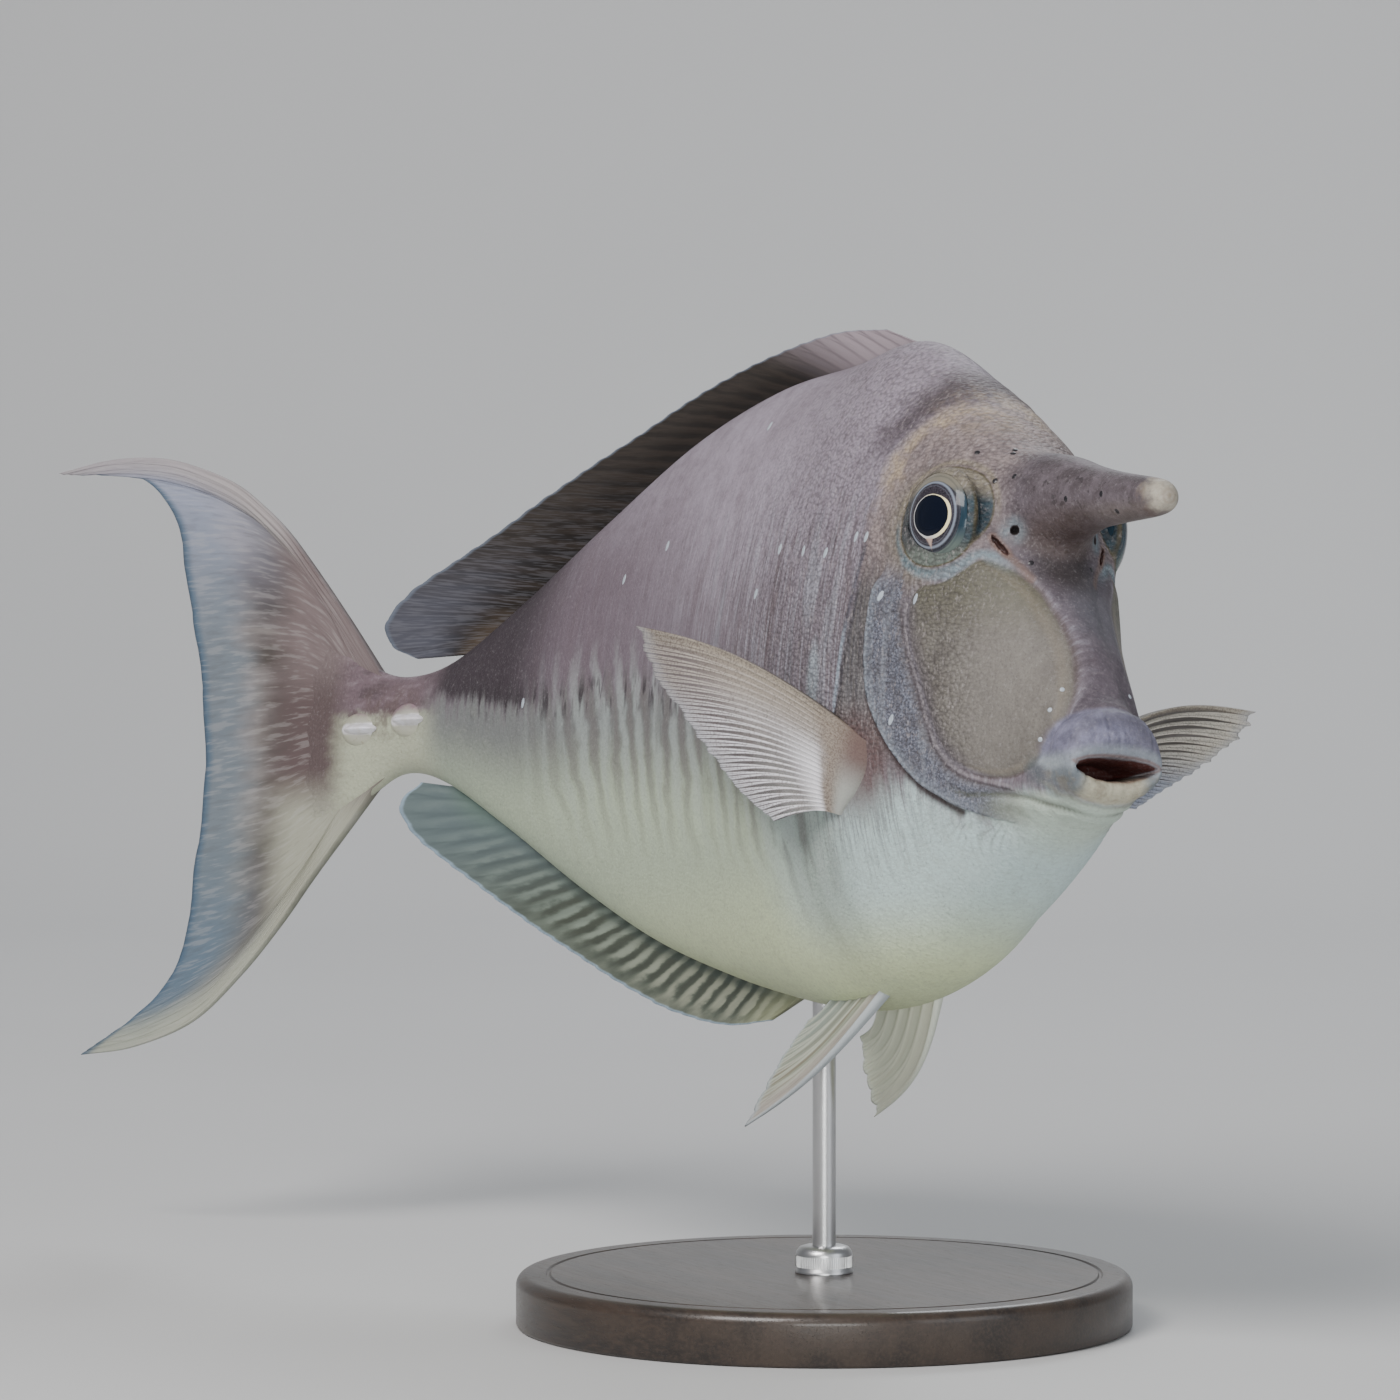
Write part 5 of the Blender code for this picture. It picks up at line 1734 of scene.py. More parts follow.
@dataclass
class Fin:
    """A fin: a thin closed sheet with branching rays, pleats and a worn edge.

    Halves and heights are in metres; branch_from, ray_from and sink are shares of a ray's length.
    """

    name: str
    rays: int
    per_ray: int
    rows: int
    root_half: float
    edge_half: float
    ray_height: float = 0.0003
    branch_from: float = 0.35
    pleat: float = 0.0
    ray_from: float = -1.0
    flesh: float = 0.0
    sink: float = 0.0
    worn: float = 0.02
    scallop: float = 0.03
    seed: int = 1

    def columns(self) -> np.ndarray:
        """Shares along the fin for its columns."""
        return np.linspace(0, 1, self.per_ray * (self.rays - 1) + 1)

    def levels(self) -> np.ndarray:
        """Shares from root to edge for its rows; the first lies inside the body."""
        return np.concatenate([[-self.sink], np.linspace(0, 1, self.rows)])

    def ray_strength(self, across: np.ndarray, out: np.ndarray) -> np.ndarray:
        """How much of a ray there is at each column and row: 1 on its middle, 0 on the web.

        Args:
            across: shares along the fin, one for each column.
            out: shares from root to edge, one for each row.

        Returns:
            An array of columns and rows.
        """
        number = across[:, None] * (self.rays - 1)
        local = number - np.round(number)
        level = np.clip(out, 0, 1)[None, :]
        first = 0.24 * smoothstep(self.branch_from, 1.0, level)
        second = 0.105 * smoothstep(self.branch_from + 0.3, 1.0, level)
        width = 0.2 - 0.1 * smoothstep(0.1, 0.9, level)
        best = np.zeros((len(across), len(out)))
        for a in (-1, 1):
            for b in (-1, 1):
                best = np.maximum(best, bell(local, a * first + b * second, width))
        return best * smoothstep(self.ray_from - 0.03, self.ray_from + 0.06, level)

    def lengths(self, across: np.ndarray) -> np.ndarray:
        """How far each column reaches: short between rays, and uneven.

        Args:
            across: shares along the fin, one for each column.

        Returns:
            One share for each column.
        """
        rng = np.random.default_rng(self.seed)
        number = across * (self.rays - 1)
        web = np.abs(number - np.round(number)) * 2
        knots = rng.normal(0, 1, self.rays + 2)
        uneven = np.interp(number, np.arange(self.rays + 2), knots)
        tatter = np.interp(number * 5, np.arange(5 * self.rays + 6), rng.uniform(0, 1, 5 * self.rays + 6))
        reach = 1 - self.scallop * web**2 - self.worn * np.abs(uneven) * 0.5 - 0.4 * self.worn * tatter
        calm = smoothstep(0, 0.03, across) * smoothstep(1, 0.97, across)
        return 1 - (1 - reach) * calm

    def sheet(self, middle: np.ndarray, shares: np.ndarray | None = None) -> Object:
        """Makes the closed sheet.

        Args:
            middle: its middle surface, one point for each column and row.
            shares: the share along the fin painted at each of them, or None for the columns' own.

        Returns:
            The new object, with a UV map of share along and share out, and the rays' strength stored.
        """
        across, out = self.columns(), self.levels()
        strength = self.ray_strength(across, out)
        level = np.clip(out, 0, 1)
        web = self.root_half + (self.edge_half - self.root_half) * level**0.7
        half = web[None, :] + self.ray_height * strength * (1 - 0.55 * level[None, :])
        half = half + self.flesh * smoothstep(self.ray_from + 0.02, self.ray_from - 0.03, level)[None, :]
        normal = np.cross(np.gradient(middle, axis=0), np.gradient(middle, axis=1))
        normal /= np.maximum(np.linalg.norm(normal, axis=2, keepdims=True), 1e-12)
        if self.pleat:
            number = across * (self.rays - 1)
            wave = np.sin(2 * math.pi * number)[:, None] * np.sin(math.pi * level * 0.5)[None, :]
            middle = middle + normal * (self.pleat * wave)[..., None]
        wide, tall = half.shape
        points = np.concatenate([(middle + normal * half[..., None]).reshape(-1, 3),
                                 (middle - normal * half[..., None]).reshape(-1, 3)])
        faces = []
        back = wide * tall
        for i in range(wide - 1):
            for j in range(tall - 1):
                a, b, c, d = i * tall + j, (i + 1) * tall + j, (i + 1) * tall + j + 1, i * tall + j + 1
                faces += [(a, b, c), (a, c, d)]
                faces += [(back + c, back + b, back + a), (back + d, back + c, back + a)]
        border = [i * tall for i in range(wide)]
        border += [(wide - 1) * tall + j for j in range(1, tall)]
        border += [i * tall + tall - 1 for i in range(wide - 2, -1, -1)]
        border += [j for j in range(tall - 2, 0, -1)]
        for a, b in zip(border, border[1:] + border[:1]):
            faces += [(a, back + b, b), (a, back + a, back + b)]
        obj = mesh_from(self.name, points, faces)
        face_outwards(obj)
        store(obj, "ray", np.tile(strength.ravel(), 2))
        grid = np.stack(np.meshgrid(across, out, indexing="ij"), axis=-1)
        if shares is not None:
            grid[..., 0] = shares
        grid = grid.reshape(-1, 2)
        pair = np.tile(grid, (2, 1))
        layer = obj.data.uv_layers.new(name="UVMap")
        corners = np.empty(len(obj.data.loops), np.int32)
        obj.data.loops.foreach_get("vertex_index", corners)
        layer.data.foreach_set("uv", pair[corners].astype(np.float32).ravel())
        return obj

    def between(self, roots: Points, tips: Points, bow: Sequence[float] = (0, 0, 0)) -> np.ndarray:
        """The middle surface of rays from roots to tips.

        Args:
            roots: points of the root line.
            tips: points of the outer edge.
            bow: how far the middle of the longest ray is bent from straight.

        Returns:
            A grid of points.
        """
        across, out = self.columns(), self.levels()
        root, tip = (np.asarray(along(line, across)) for line in (roots, tips))
        reach = out[None, :] * np.where(out > 0, self.lengths(across)[:, None], 1)
        grid = root[:, None] + (tip - root)[:, None] * reach[..., None]
        span = np.linalg.norm(tip - root, axis=1)
        bend = (span / span.max())[:, None] * np.sin(math.pi * np.clip(reach, 0, 1))
        return grid + np.array(bow) * bend[..., None]


def flat_line(points: Points) -> list[tuple[float, float, float]]:
    """A side-view line set on the mid-plane."""
    return [(x, 0.0, z) for x, z in points]


@dataclass
class Fins(Part):
    """All seven fins."""

    dorsal_roots: Points = ((-0.136, 0.1145), (-0.175, 0.1125), (-0.225, 0.109), (-0.275, 0.096),
                            (-0.325, 0.071), (-0.37, 0.044), (-0.4, 0.027))
    dorsal_tips: Points = ((-0.164, 0.1235), (-0.197, 0.1265), (-0.229, 0.1245), (-0.26, 0.1195),
                           (-0.289, 0.112), (-0.317, 0.102), (-0.343, 0.0925), (-0.369, 0.0815),
                           (-0.394, 0.0695), (-0.415, 0.06), (-0.433, 0.051), (-0.4432, 0.0405),
                           (-0.44, 0.0315), (-0.427, 0.0262))
    anal_roots: Points = ((-0.203, -0.1035), (-0.24, -0.095), (-0.288, -0.0812), (-0.332, -0.0615),
                          (-0.375, -0.0375), (-0.398, -0.0225))
    anal_tips: Points = ((-0.222, -0.1105), (-0.252, -0.1112), (-0.285, -0.1052), (-0.314, -0.095),
                         (-0.341, -0.0833), (-0.365, -0.0722), (-0.387, -0.0607), (-0.408, -0.0492),
                         (-0.425, -0.0385), (-0.4325, -0.0275), (-0.422, -0.0195))
    caudal_root_x: float = -0.444
    caudal_root_height: float = 0.0215
    caudal_upper: Points = ((-0.444, 0.0215), (-0.461, 0.042), (-0.476, 0.059), (-0.491, 0.075),
                            (-0.503, 0.085), (-0.518, 0.095), (-0.536, 0.102), (-0.555, 0.1065),
                            (-0.58, 0.107), (-0.606, 0.103))
    caudal_trailing: Points = (
        (-0.606, 0.103), (-0.58, 0.1015), (-0.564, 0.099), (-0.552, 0.09), (-0.545, 0.079),
        (-0.54, 0.06), (-0.536, 0.044), (-0.531, 0.025), (-0.527, 0.0), (-0.526, -0.02),
        (-0.527, -0.035), (-0.529, -0.05), (-0.53, -0.065), (-0.532, -0.079), (-0.54, -0.094),
        (-0.556, -0.107), (-0.579, -0.12),
    )
    caudal_lower: Points = ((-0.444, -0.0215), (-0.46, -0.04), (-0.473, -0.055), (-0.486, -0.071),
                            (-0.504, -0.09), (-0.526, -0.1075), (-0.554, -0.117), (-0.579, -0.12))
    pectoral_roots: Points = ((-0.095, 0.04, -0.025), (-0.099, 0.041, -0.033),
                              (-0.104, 0.041, -0.041), (-0.11, 0.0405, -0.048))
    right_pectoral: Points = ((-0.179, 0.083, 0.015), (-0.176, 0.082, 0.007), (-0.169, 0.08, -0.004),
                              (-0.16, 0.077, -0.013), (-0.151, 0.073, -0.024), (-0.143, 0.069, -0.033),
                              (-0.135, 0.065, -0.042), (-0.124, 0.057, -0.052))
    left_pectoral: Points = ((-0.123, 0.128, 0.001), (-0.121, 0.1255, -0.004), (-0.119, 0.12, -0.009),
                             (-0.119, 0.114, -0.014), (-0.119, 0.106, -0.02), (-0.119, 0.096, -0.026),
                             (-0.118, 0.088, -0.031), (-0.117, 0.078, -0.037))
    pelvic_roots: Points = ((-0.126, 0.01, -0.104), (-0.138, 0.0095, -0.1055), (-0.15, 0.009, -0.106),
                            (-0.162, 0.0085, -0.1055))
    right_pelvic: Points = ((-0.177, 0.034, -0.15), (-0.174, 0.03, -0.139), (-0.173, 0.023, -0.126),
                            (-0.172, 0.014, -0.113))
    left_pelvic: Points = ((-0.188, 0.022, -0.143), (-0.188, 0.019, -0.136), (-0.186, 0.015, -0.124),
                           (-0.184, 0.013, -0.116))

    def median(self, fin: Fin, roots: Points, tips: Points, inward: float) -> Object:
        """A fin on the mid-line; inward is how far, and which way, its foot goes into the body.

        Args:
            fin: the fin's make.
            roots: points of the root line.
            tips: points of the outer edge.
            inward: how far up, or down where it is negative, its foot goes.

        Returns:
            The fin's object.
        """
        middle = fin.between(flat_line(roots), flat_line(tips))
        middle[:, 0] = along(flat_line(roots), fin.columns()) + np.array([0, 0, inward])
        return fin.sheet(middle)

    def caudal(self, fin: Fin) -> Object:
        """The tail fin: a patch between its root, its two leading edges and its trailing edge.

        Args:
            fin: the fin's make.

        Returns:
            The fin's object.
        """
        across, out = fin.columns(), fin.levels()
        length = fin.lengths(across)
        rows = np.clip(out, 0, 1)
        upper, lower = (along(line, rows) for line in (self.caudal_upper, self.caudal_lower))
        slower = across - 0.85 * np.sin(2 * math.pi * across) / (2 * math.pi)
        trailing = along(self.caudal_trailing, slower)
        x = np.full(len(across), self.caudal_root_x)
        root = np.stack([x, self.caudal_root_height * (1 - 2 * across)], axis=1)
        u, v = across[:, None, None], rows[None, :, None]
        patch = (1 - v) * root[:, None] + v * trailing[:, None] + (1 - u) * upper[None] + u * lower[None]
        first, last = ((1 - v) * root[end] + v * trailing[end] for end in (0, -1))
        patch = patch - ((1 - u) * first + u * last)
        reach = 1 - (1 - length)[:, None] * rows[None, :] ** 3
        patch = root[:, None] + (patch - root[:, None]) * reach[..., None]
        middle = np.zeros((len(across), len(out), 3))
        middle[..., 0], middle[..., 2] = patch[..., 0], patch[..., 1]
        middle[:, 0] += np.array([0.014, 0, 0])
        middle[:, 0, 2] *= 0.6
        shares = across[:, None] + (slower - across)[:, None] * rows[None, :]
        return fin.sheet(middle, shares)

    def paired(self, fin: Fin, side: Side, roots: Points, tips: Points,
               bow: Sequence[float]) -> Object:
        """A fin off the flank or the belly, on one side.

        Args:
            fin: the fin's make.
            side: which side of the fish.
            roots: points of the root line.
            tips: points of the outer edge.
            bow: how far the middle of the longest ray is bent from straight.

        Returns:
            The fin's object.
        """
        middle = fin.between(roots, tips, bow)
        middle[..., 1] *= side.value
        return fin.sheet(middle)

    def build(self) -> None:
        """Makes, paints and places each fin."""
        dorsal = Fin("dorsal_fin_web", 33, 12, 26, 0.0014, 0.00025, ray_height=0.00024, pleat=0.0003,
                     branch_from=0.55, worn=0.008, scallop=0.01, seed=2)
        anal = Fin("anal_fin_web", 29, 12, 24, 0.0014, 0.00025, ray_height=0.00024, pleat=0.0003,
                   branch_from=0.55, worn=0.008, scallop=0.012, seed=3)
        tail = Fin("caudal_fin_web", 19, 20, 70, 0.0026, 0.00025, ray_height=0.00024, pleat=0.0002,
                   worn=0.006, scallop=0.005, branch_from=0.15, ray_from=0.2, seed=4)
        paired = {"rows": 64, "root_half": 0.0021, "edge_half": 0.0002, "sink": 0.12, "branch_from": 0.3,
                  "ray_from": 0.15, "flesh": 0.0004, "worn": 0.03, "scallop": 0.012, "ray_height": 0.0002}
        right = Fin("pectoral_fin_right_web", 24, 14, seed=5, **paired)
        paired |= {"ray_height": 0.0004, "pleat": 0.0005}
        left = Fin("pectoral_fin_left_web", 15, 22, seed=6, **paired)
        paired = {"rows": 48, "root_half": 0.0017, "edge_half": 0.00022, "sink": 0.12, "branch_from": 0.1,
                  "worn": 0.04, "scallop": 0.03, "ray_height": 0.00045}
        pelvic_right = Fin("pelvic_fin_right_web", 6, 24, seed=7, **paired)
        pelvic_left = Fin("pelvic_fin_left_web", 6, 24, seed=8, **paired)
        made = (
            (self.median(dorsal, self.dorsal_roots, self.dorsal_tips, -0.006), dorsal_paint(), "dorsal_fin"),
            (self.median(anal, self.anal_roots, self.anal_tips, 0.006), anal_paint(), "anal_fin"),
            (self.caudal(tail), caudal_paint(), "caudal_fin"),
            (self.paired(right, Side.RIGHT, self.pectoral_roots, self.right_pectoral, (0.0, 0.002, 0.007)),
             pectoral_paint("pectoral_fin", False), "pectoral_fin_right"),
            (self.paired(left, Side.LEFT, self.pectoral_roots, self.left_pectoral, (-0.004, 0.0, 0.009)),
             pectoral_paint("spread_pectoral_fin", True), "pectoral_fin_left"),
            # The right pelvic fin is darkened as painted shade, the left one lightened as painted light.
            (self.paired(pelvic_right, Side.RIGHT, self.pelvic_roots, self.right_pelvic,
                         (0.004, 0.003, -0.0055)),
             pelvic_paint("pelvic_fin_right", 0.7), "pelvic_fin_right"),
            (self.paired(pelvic_left, Side.LEFT, self.pelvic_roots, self.left_pelvic,
                         (0.003, 0.0025, -0.0055)),
             pelvic_paint("pelvic_fin_left", 1.7), "pelvic_fin_left"),
        )
        for obj, material, node in made:
            store(obj, "spot", vertices_of(obj) * 10)
            self.pose.place(obj, self.form)
            dress(obj, material, Slot.FIN, node)


def fin_start(name: str) -> tuple[Paint, Value, Value, Value, NodeSocket]:
    """Starts a fin's material: the paint, share along, share out, ray strength and the UV vector.

    Args:
        name: the material's name.

    Returns:
        The five of them.
    """
    paint = Paint(name)
    place = paint.node("ShaderNodeUVMap", {"uv_map": "UVMap"}, {}).outputs[0]
    across, out, _ = paint.parts(place)
    return paint, across, out, paint.number("ray"), place


def dorsal_paint() -> Material:
    """Dark brown at its foot and olive-tan above with slanting bands, mauve in front, bluish behind.

    Returns:
        The finished material.
    """
    paint, across, out, ray, place = fin_start("dorsal_fin")
    cloud = paint.noise(place, (30, 3, 1), 4)
    wide = paint.noise(place, (38, 2, 1), 2, 0.5)
    lines = (across * (32 * 2 * math.pi) + cloud * 3.0).sine() * 0.5 + 0.5
    band = lines * 0.4 + wide * 0.75 + cloud * 0.15
    colour = paint.mix(band.step(0.35, 0.85), (0.006, 0.0045, 0.004), (0.023, 0.017, 0.014))
    fine = paint.noise(place, (260, 4, 1), 2)
    colour = paint.over(
        colour,
        (out.step(0.3, 0.85) * 0.55, (0.046, 0.038, 0.033)),
        (band.step(0.6, 0.4) * 0.55, (0.014, 0.011, 0.01)),
        (across.step(0.28, 0.08) * 0.9, (0.33, 0.275, 0.305)),
        (across.step(0.72, 0.96) * out.step(0.15, 0.7) * 0.75, (0.082, 0.086, 0.112)),
        (across.step(0.86, 0.97) * out.step(0.4, 0.0) * 0.4, (0.15, 0.11, 0.075)),
        (out.step(0.95, 1.0) * 0.55, (0.22, 0.27, 0.35)),
        (fine.step(0.55, 0.4) * across.step(0.5, 0.9) * 0.22, (0.2, 0.2, 0.23)),
    )
    return paint.finish(colour, 0.5 + cloud * 0.2, fine * 0.6 + ray * 0.4, 0.0002, Specular_IOR_Level=0.25)


def anal_paint() -> Material:
    """Greenish grey with slanting bands, dark along the root and pale blue along the edge.

    Returns:
        The finished material.
    """
    paint, across, out, ray, place = fin_start("anal_fin")
    cloud = paint.noise(place, (24, 3, 1), 4)
    phase = across * (26 * 2 * math.pi) + out * 2.2 + cloud * 5.0
    band = phase.sine() * (cloud.step(0.3, 0.65) * 0.3 + 0.15) * out.step(0.95, 0.55) + 0.2 + cloud * 0.5
    colour = paint.mix(band.step(0.15, 0.9), (0.058, 0.066, 0.052), (0.19, 0.228, 0.19))
    colour = paint.over(
        colour,
        (across.step(0.65, 0.2) * band.step(0.3, 0.7) * 0.5, (0.33, 0.32, 0.235)),
        (out.band(0.1, 0.16) * 0.55, (0.065, 0.086, 0.078)),
        (across.step(0.58, 0.92) * 0.8, (0.118, 0.155, 0.165)),
        (across.step(0.8, 0.97) * out.step(0.55, 0.1) * 0.6, (0.11, 0.165, 0.13)),
        (across.step(0.13, 0.0) * 0.6, (0.4, 0.42, 0.26)),
        (out.step(0.94, 0.99) * 0.8, (0.36, 0.48, 0.6)),
    )
    fine = paint.noise(place, (240, 14, 1), 3)
    return paint.finish(colour, 0.5 + cloud * 0.2, fine * 0.6 + ray * 0.4, 0.0002, Specular_IOR_Level=0.25)


def caudal_paint() -> Material:
    """Brown-mauve in the middle with dark streaks, cream at the margins, pale blue behind, a dark edge; the
    fin's own colours, darkened in part as painted shade over the whole tail.

    Returns:
        The finished material.
    """
    paint, across, out, ray, place = fin_start("caudal_fin")
    cloud = paint.noise(place, (9, 2.2, 1), 5, 0.6)
    fine = paint.noise(place, (150, 8, 1), 3)
    middle = (across - 0.5).absolute()
    # The fin's own colours, kept darker in part as painted shade over the whole tail.
    colour = paint.mix(cloud.step(0.3, 0.7), (0.205, 0.188, 0.185), (0.31, 0.29, 0.288))
    inner = (out + (cloud - 0.5) * 0.3).step(0.9, 0.64) * middle.step(0.45, 0.2)
    streaks = paint.noise(place, (30, 1.6, 1), 3, 0.5)
    reach = out.step(0.25, 0.5) * out.step(0.88, 0.68) * middle.step(0.42, 0.08)
    rear = (out + (streaks - 0.5) * 0.16).step(0.74, 0.9)
    x, _, z = paint.parts(paint.vector("spot"))
    colour = paint.over(
        colour,
        (across.step(0.5, 0.72) * 0.8, (0.215, 0.225, 0.205)),
        (inner * 0.9, (0.078, 0.061, 0.058)),
        (streaks.step(0.46, 0.64) * reach * 0.75, (0.05, 0.042, 0.036)),
        (streaks.step(0.44, 0.32) * reach * 0.45, (0.27, 0.245, 0.225)),
        (rear * middle.step(0.5, 0.3) * 0.8, (0.128, 0.165, 0.2)),
        (across.step(0.42, 0.12) * out.step(0.45, 0.85) * 0.8, (0.32, 0.345, 0.455)),
        (across.step(0.62, 0.85) * out.step(0.6, 0.9) * 0.75, (0.1, 0.15, 0.21)),
        (across.step(0.88, 0.99) * 0.8, (0.4, 0.41, 0.33)),
        (across.step(0.6, 0.88) * out.step(0.36, 0.05) * 0.85, (0.36, 0.37, 0.28)),
        (across.step(0.12, 0.0) * 0.75, (0.39, 0.345, 0.345)),
        ((x + (cloud - 0.5) * 0.2).step(-5.02, -4.8), fin_foot(paint, z)),
        (out.step(0.958, 0.992) * across.step(0.02, 0.06) * 0.85, (0.07, 0.115, 0.17)),
        (fine.step(0.5, 0.64) * 0.18, (0.5, 0.48, 0.47)),
        (fine.step(0.46, 0.34) * 0.2, (0.08, 0.07, 0.07)),
    )
    return paint.finish(colour, 0.5 + cloud * 0.2, fine * 0.5 + ray * 0.5, 0.0002, Specular_IOR_Level=0.25)


def pectoral_paint(name: str, spread: bool) -> Material:
    """Pale rays over a stippled tan web that grows clear below, and a brown fleshy base.

    Args:
        name: the material's name.
        spread: whether the fin is spread wide, with dark webs between broad rays.

    Returns:
        The finished material.
    """
    paint, across, out, ray, place = fin_start(name)
    cloud = paint.noise(place, (9, 2, 1), 4)
    fine = paint.noise(place, (200, 12, 1), 4, 0.65)
    dots = paint.noise(paint.object_place(), 1500, 2, 0.6)
    web = paint.mix(cloud.step(0.35, 0.7), (0.33, 0.3, 0.285), (0.46, 0.43, 0.425))
    web = paint.over(
        web,
        (across.step(0.4, 0.05) * 0.8, (0.255, 0.215, 0.165)),
        (out.step(0.5, 0.85) * 0.85, (0.125, 0.102, 0.11)),
    )
    rays = paint.mix(across.step(0.15, 0.55), (0.44, 0.395, 0.35), (0.76, 0.75, 0.8))
    colour = paint.mix(ray.step(0.35, 0.95) * 0.85, web, rays)
    if spread:
        web = paint.mix(cloud.step(0.35, 0.7), (0.066, 0.06, 0.056), (0.13, 0.12, 0.115))
        rays = paint.mix(across.step(0.3, 0.85), (0.57, 0.53, 0.46), (0.34, 0.37, 0.46))
        rays = paint.mix(fine.step(0.5, 0.66) * 0.45, rays, (0.2, 0.175, 0.15))
        colour = paint.mix((ray + out.step(0.6, 1.0) * 0.1).step(0.1, 0.5), web, rays)
    burst = out.step(0.15, 0.2) * out.step(0.5, 0.2) * across.step(0.25, 0.6)
    hide = paint.mix(dots.step(0.35, 0.65), (0.27, 0.222, 0.18), (0.13, 0.098, 0.076))
    hide = paint.mix(fine.step(0.45, 0.62) * 0.45, hide, (0.33, 0.295, 0.26))
    foot = paint.mix(across.step(0.2, 0.75), (0.115, 0.066, 0.062), (0.4, 0.42, 0.39))
    hide = paint.mix(out.step(0.12, 0.0) * 0.85, hide, foot)
    flesh = out - (across - 0.45).absolute() * 0.1 + (fine - 0.5) * 0.1 + (cloud - 0.5) * 0.04
    flesh = flesh.step(0.2, 0.1)
    leading = across.step(0.05 if spread else 0.1, 0.02) * out.step(0.08, 0.2)
    edge = paint.mix(dots.step(0.4, 0.62), (0.3, 0.262, 0.205), (0.15, 0.122, 0.098))
    colour = paint.over(
        colour,
        (dots.step(0.52, 0.62) * 0.45, (0.095, 0.075, 0.062)),
        (fine.step(0.55, 0.7) * out.step(0.3, 0.6) * 0.4, (0.13, 0.105, 0.1)),
        (burst * 0.75, (0.8, 0.785, 0.83)),
        (flesh * 0.92, hide),
        (leading * 0.7, edge),
        (out.step(0.92, 1.0) * 0.4, (0.42, 0.44, 0.48)),
    )
    clear = (1 - ray.step(0.1, 0.6)) * out.step(0.22, 0.45) * across.step(0.15, 0.65)
    clear = clear.most(out.step(0.7, 1.0) * 0.5)
    cover = 1.0 if spread else 1 - clear * 0.62
    return paint.finish(colour, 0.45 + cloud * 0.2, fine * 0.4 + ray * 0.6, 0.00025, cover,
                        Specular_IOR_Level=0.3)


def pelvic_paint(name: str, strength: float) -> Material:
    """Pale greenish cream with brown streaks, a pinkish leading ray and blue-white edges, darkened as painted
    shade below a strength of 1 and lightened as painted light above it.

    Args:
        name: the material's name.
        strength: how much painted light the fin gets: below 1 its colours are darkened as painted shade,
            above 1 lightened as painted light; 1 for those of the belly.

    Returns:
        The finished material.
    """
    paint, across, out, ray, place = fin_start(name)
    cloud = paint.noise(place, (12, 1.5, 1), 4)
    fine = paint.noise(place, (90, 5, 1), 4, 0.6)
    colour = paint.mix(cloud.step(0.35, 0.7), (0.3, 0.33, 0.25), (0.42, 0.45, 0.36))
    streak = paint.noise(place, (16, 0.8, 1), 3).step(0.48, 0.6)
    leading = across.step(0.26, 0.08)
    edge = across.step(0.965, 1.0).most(across.step(0.035, 0.0)).most(out.step(0.93, 1.0))
    colour = paint.over(
        colour,
        (across.step(0.35, 0.9) * 0.6, (0.28, 0.345, 0.33)),
        (streak * across.band(0.34, 0.34) * 0.75, (0.185, 0.14, 0.09)),
        (ray.step(0.35, 0.9) * 0.6, (0.64, 0.65, 0.56)),
        (ray.step(0.25, 0.0) * across.step(0.3, 0.6) * 0.25, (0.21, 0.245, 0.245)),
        (leading * 0.75, (0.46, 0.395, 0.37)),
        (fine.step(0.54, 0.7) * (leading * 0.5 + 0.25), (0.15, 0.115, 0.095)),
        (edge * 0.65, (0.52, 0.61, 0.68)),
    )
    # Painted shade below a strength of 1, painted light above it.
    bright = min(strength, 1.0)
    colour = paint.mix(1 - bright, colour, (0.12, 0.12, 0.1)) if strength < 1 else colour
    colour = paint.mix(min(strength - 1, 0.8), colour, (0.84, 0.87, 0.7)) if strength > 1 else colour
    return paint.finish(colour, 0.45 + cloud * 0.2, fine * 0.5 + ray * 0.5, 0.00025, Specular_IOR_Level=0.3)


# Eyes


@dataclass
class Eye(Part):
    """One eyeball: a flattened dome, glassy over a ringed iris."""

    side: Side
    sides: int = 128
    rings: int = 60

    def build(self, material: Material) -> Object:
        """Makes the eyeball and stores each point's distance from its axis.

        Args:
            material: its material.

        Returns:
            The eyeball.
        """
        height = np.linspace(0.02, math.pi - 0.02, self.rings)
        angle = np.linspace(0, 2 * math.pi, self.sides, endpoint=False)
        radius = self.form.eye_radius * np.sin(height)
        pupil = np.exp(-(((radius / 0.0071) - 1) / 0.1) ** 2)
        depth = self.form.eye_depth * np.cos(height) - 0.0001 * pupil * (np.cos(height) > 0)
        local = np.stack([
            radius[:, None] * np.cos(angle),
            radius[:, None] * np.sin(angle),
            np.repeat(depth[:, None], self.sides, axis=1),
        ], axis=-1)
        name = f"eyeball_{self.side.name.lower()}"
        obj = loft(name, local)
        points = vertices_of(obj)
        forwards = -self.side.value * points[:, 0]
        store(obj, "off_axis", np.hypot(points[:, 0], points[:, 1]) * 1000)
        store(obj, "off_pupil", np.hypot(forwards * 0.88 - 0.0002, points[:, 1] * 1.03 + 0.0003) * 1000)
        store(obj, "iris", np.stack([forwards, points[:, 1], points[:, 2]], axis=1) * 1000)
        set_vertices(obj, moved(points, self.form.eye_frame(self.side)))
        self.pose.place(obj, self.form)
        face_outwards(obj)
        dress(obj, material, Slot.EYE, f"eye_{self.side.name.lower()}")
        return obj


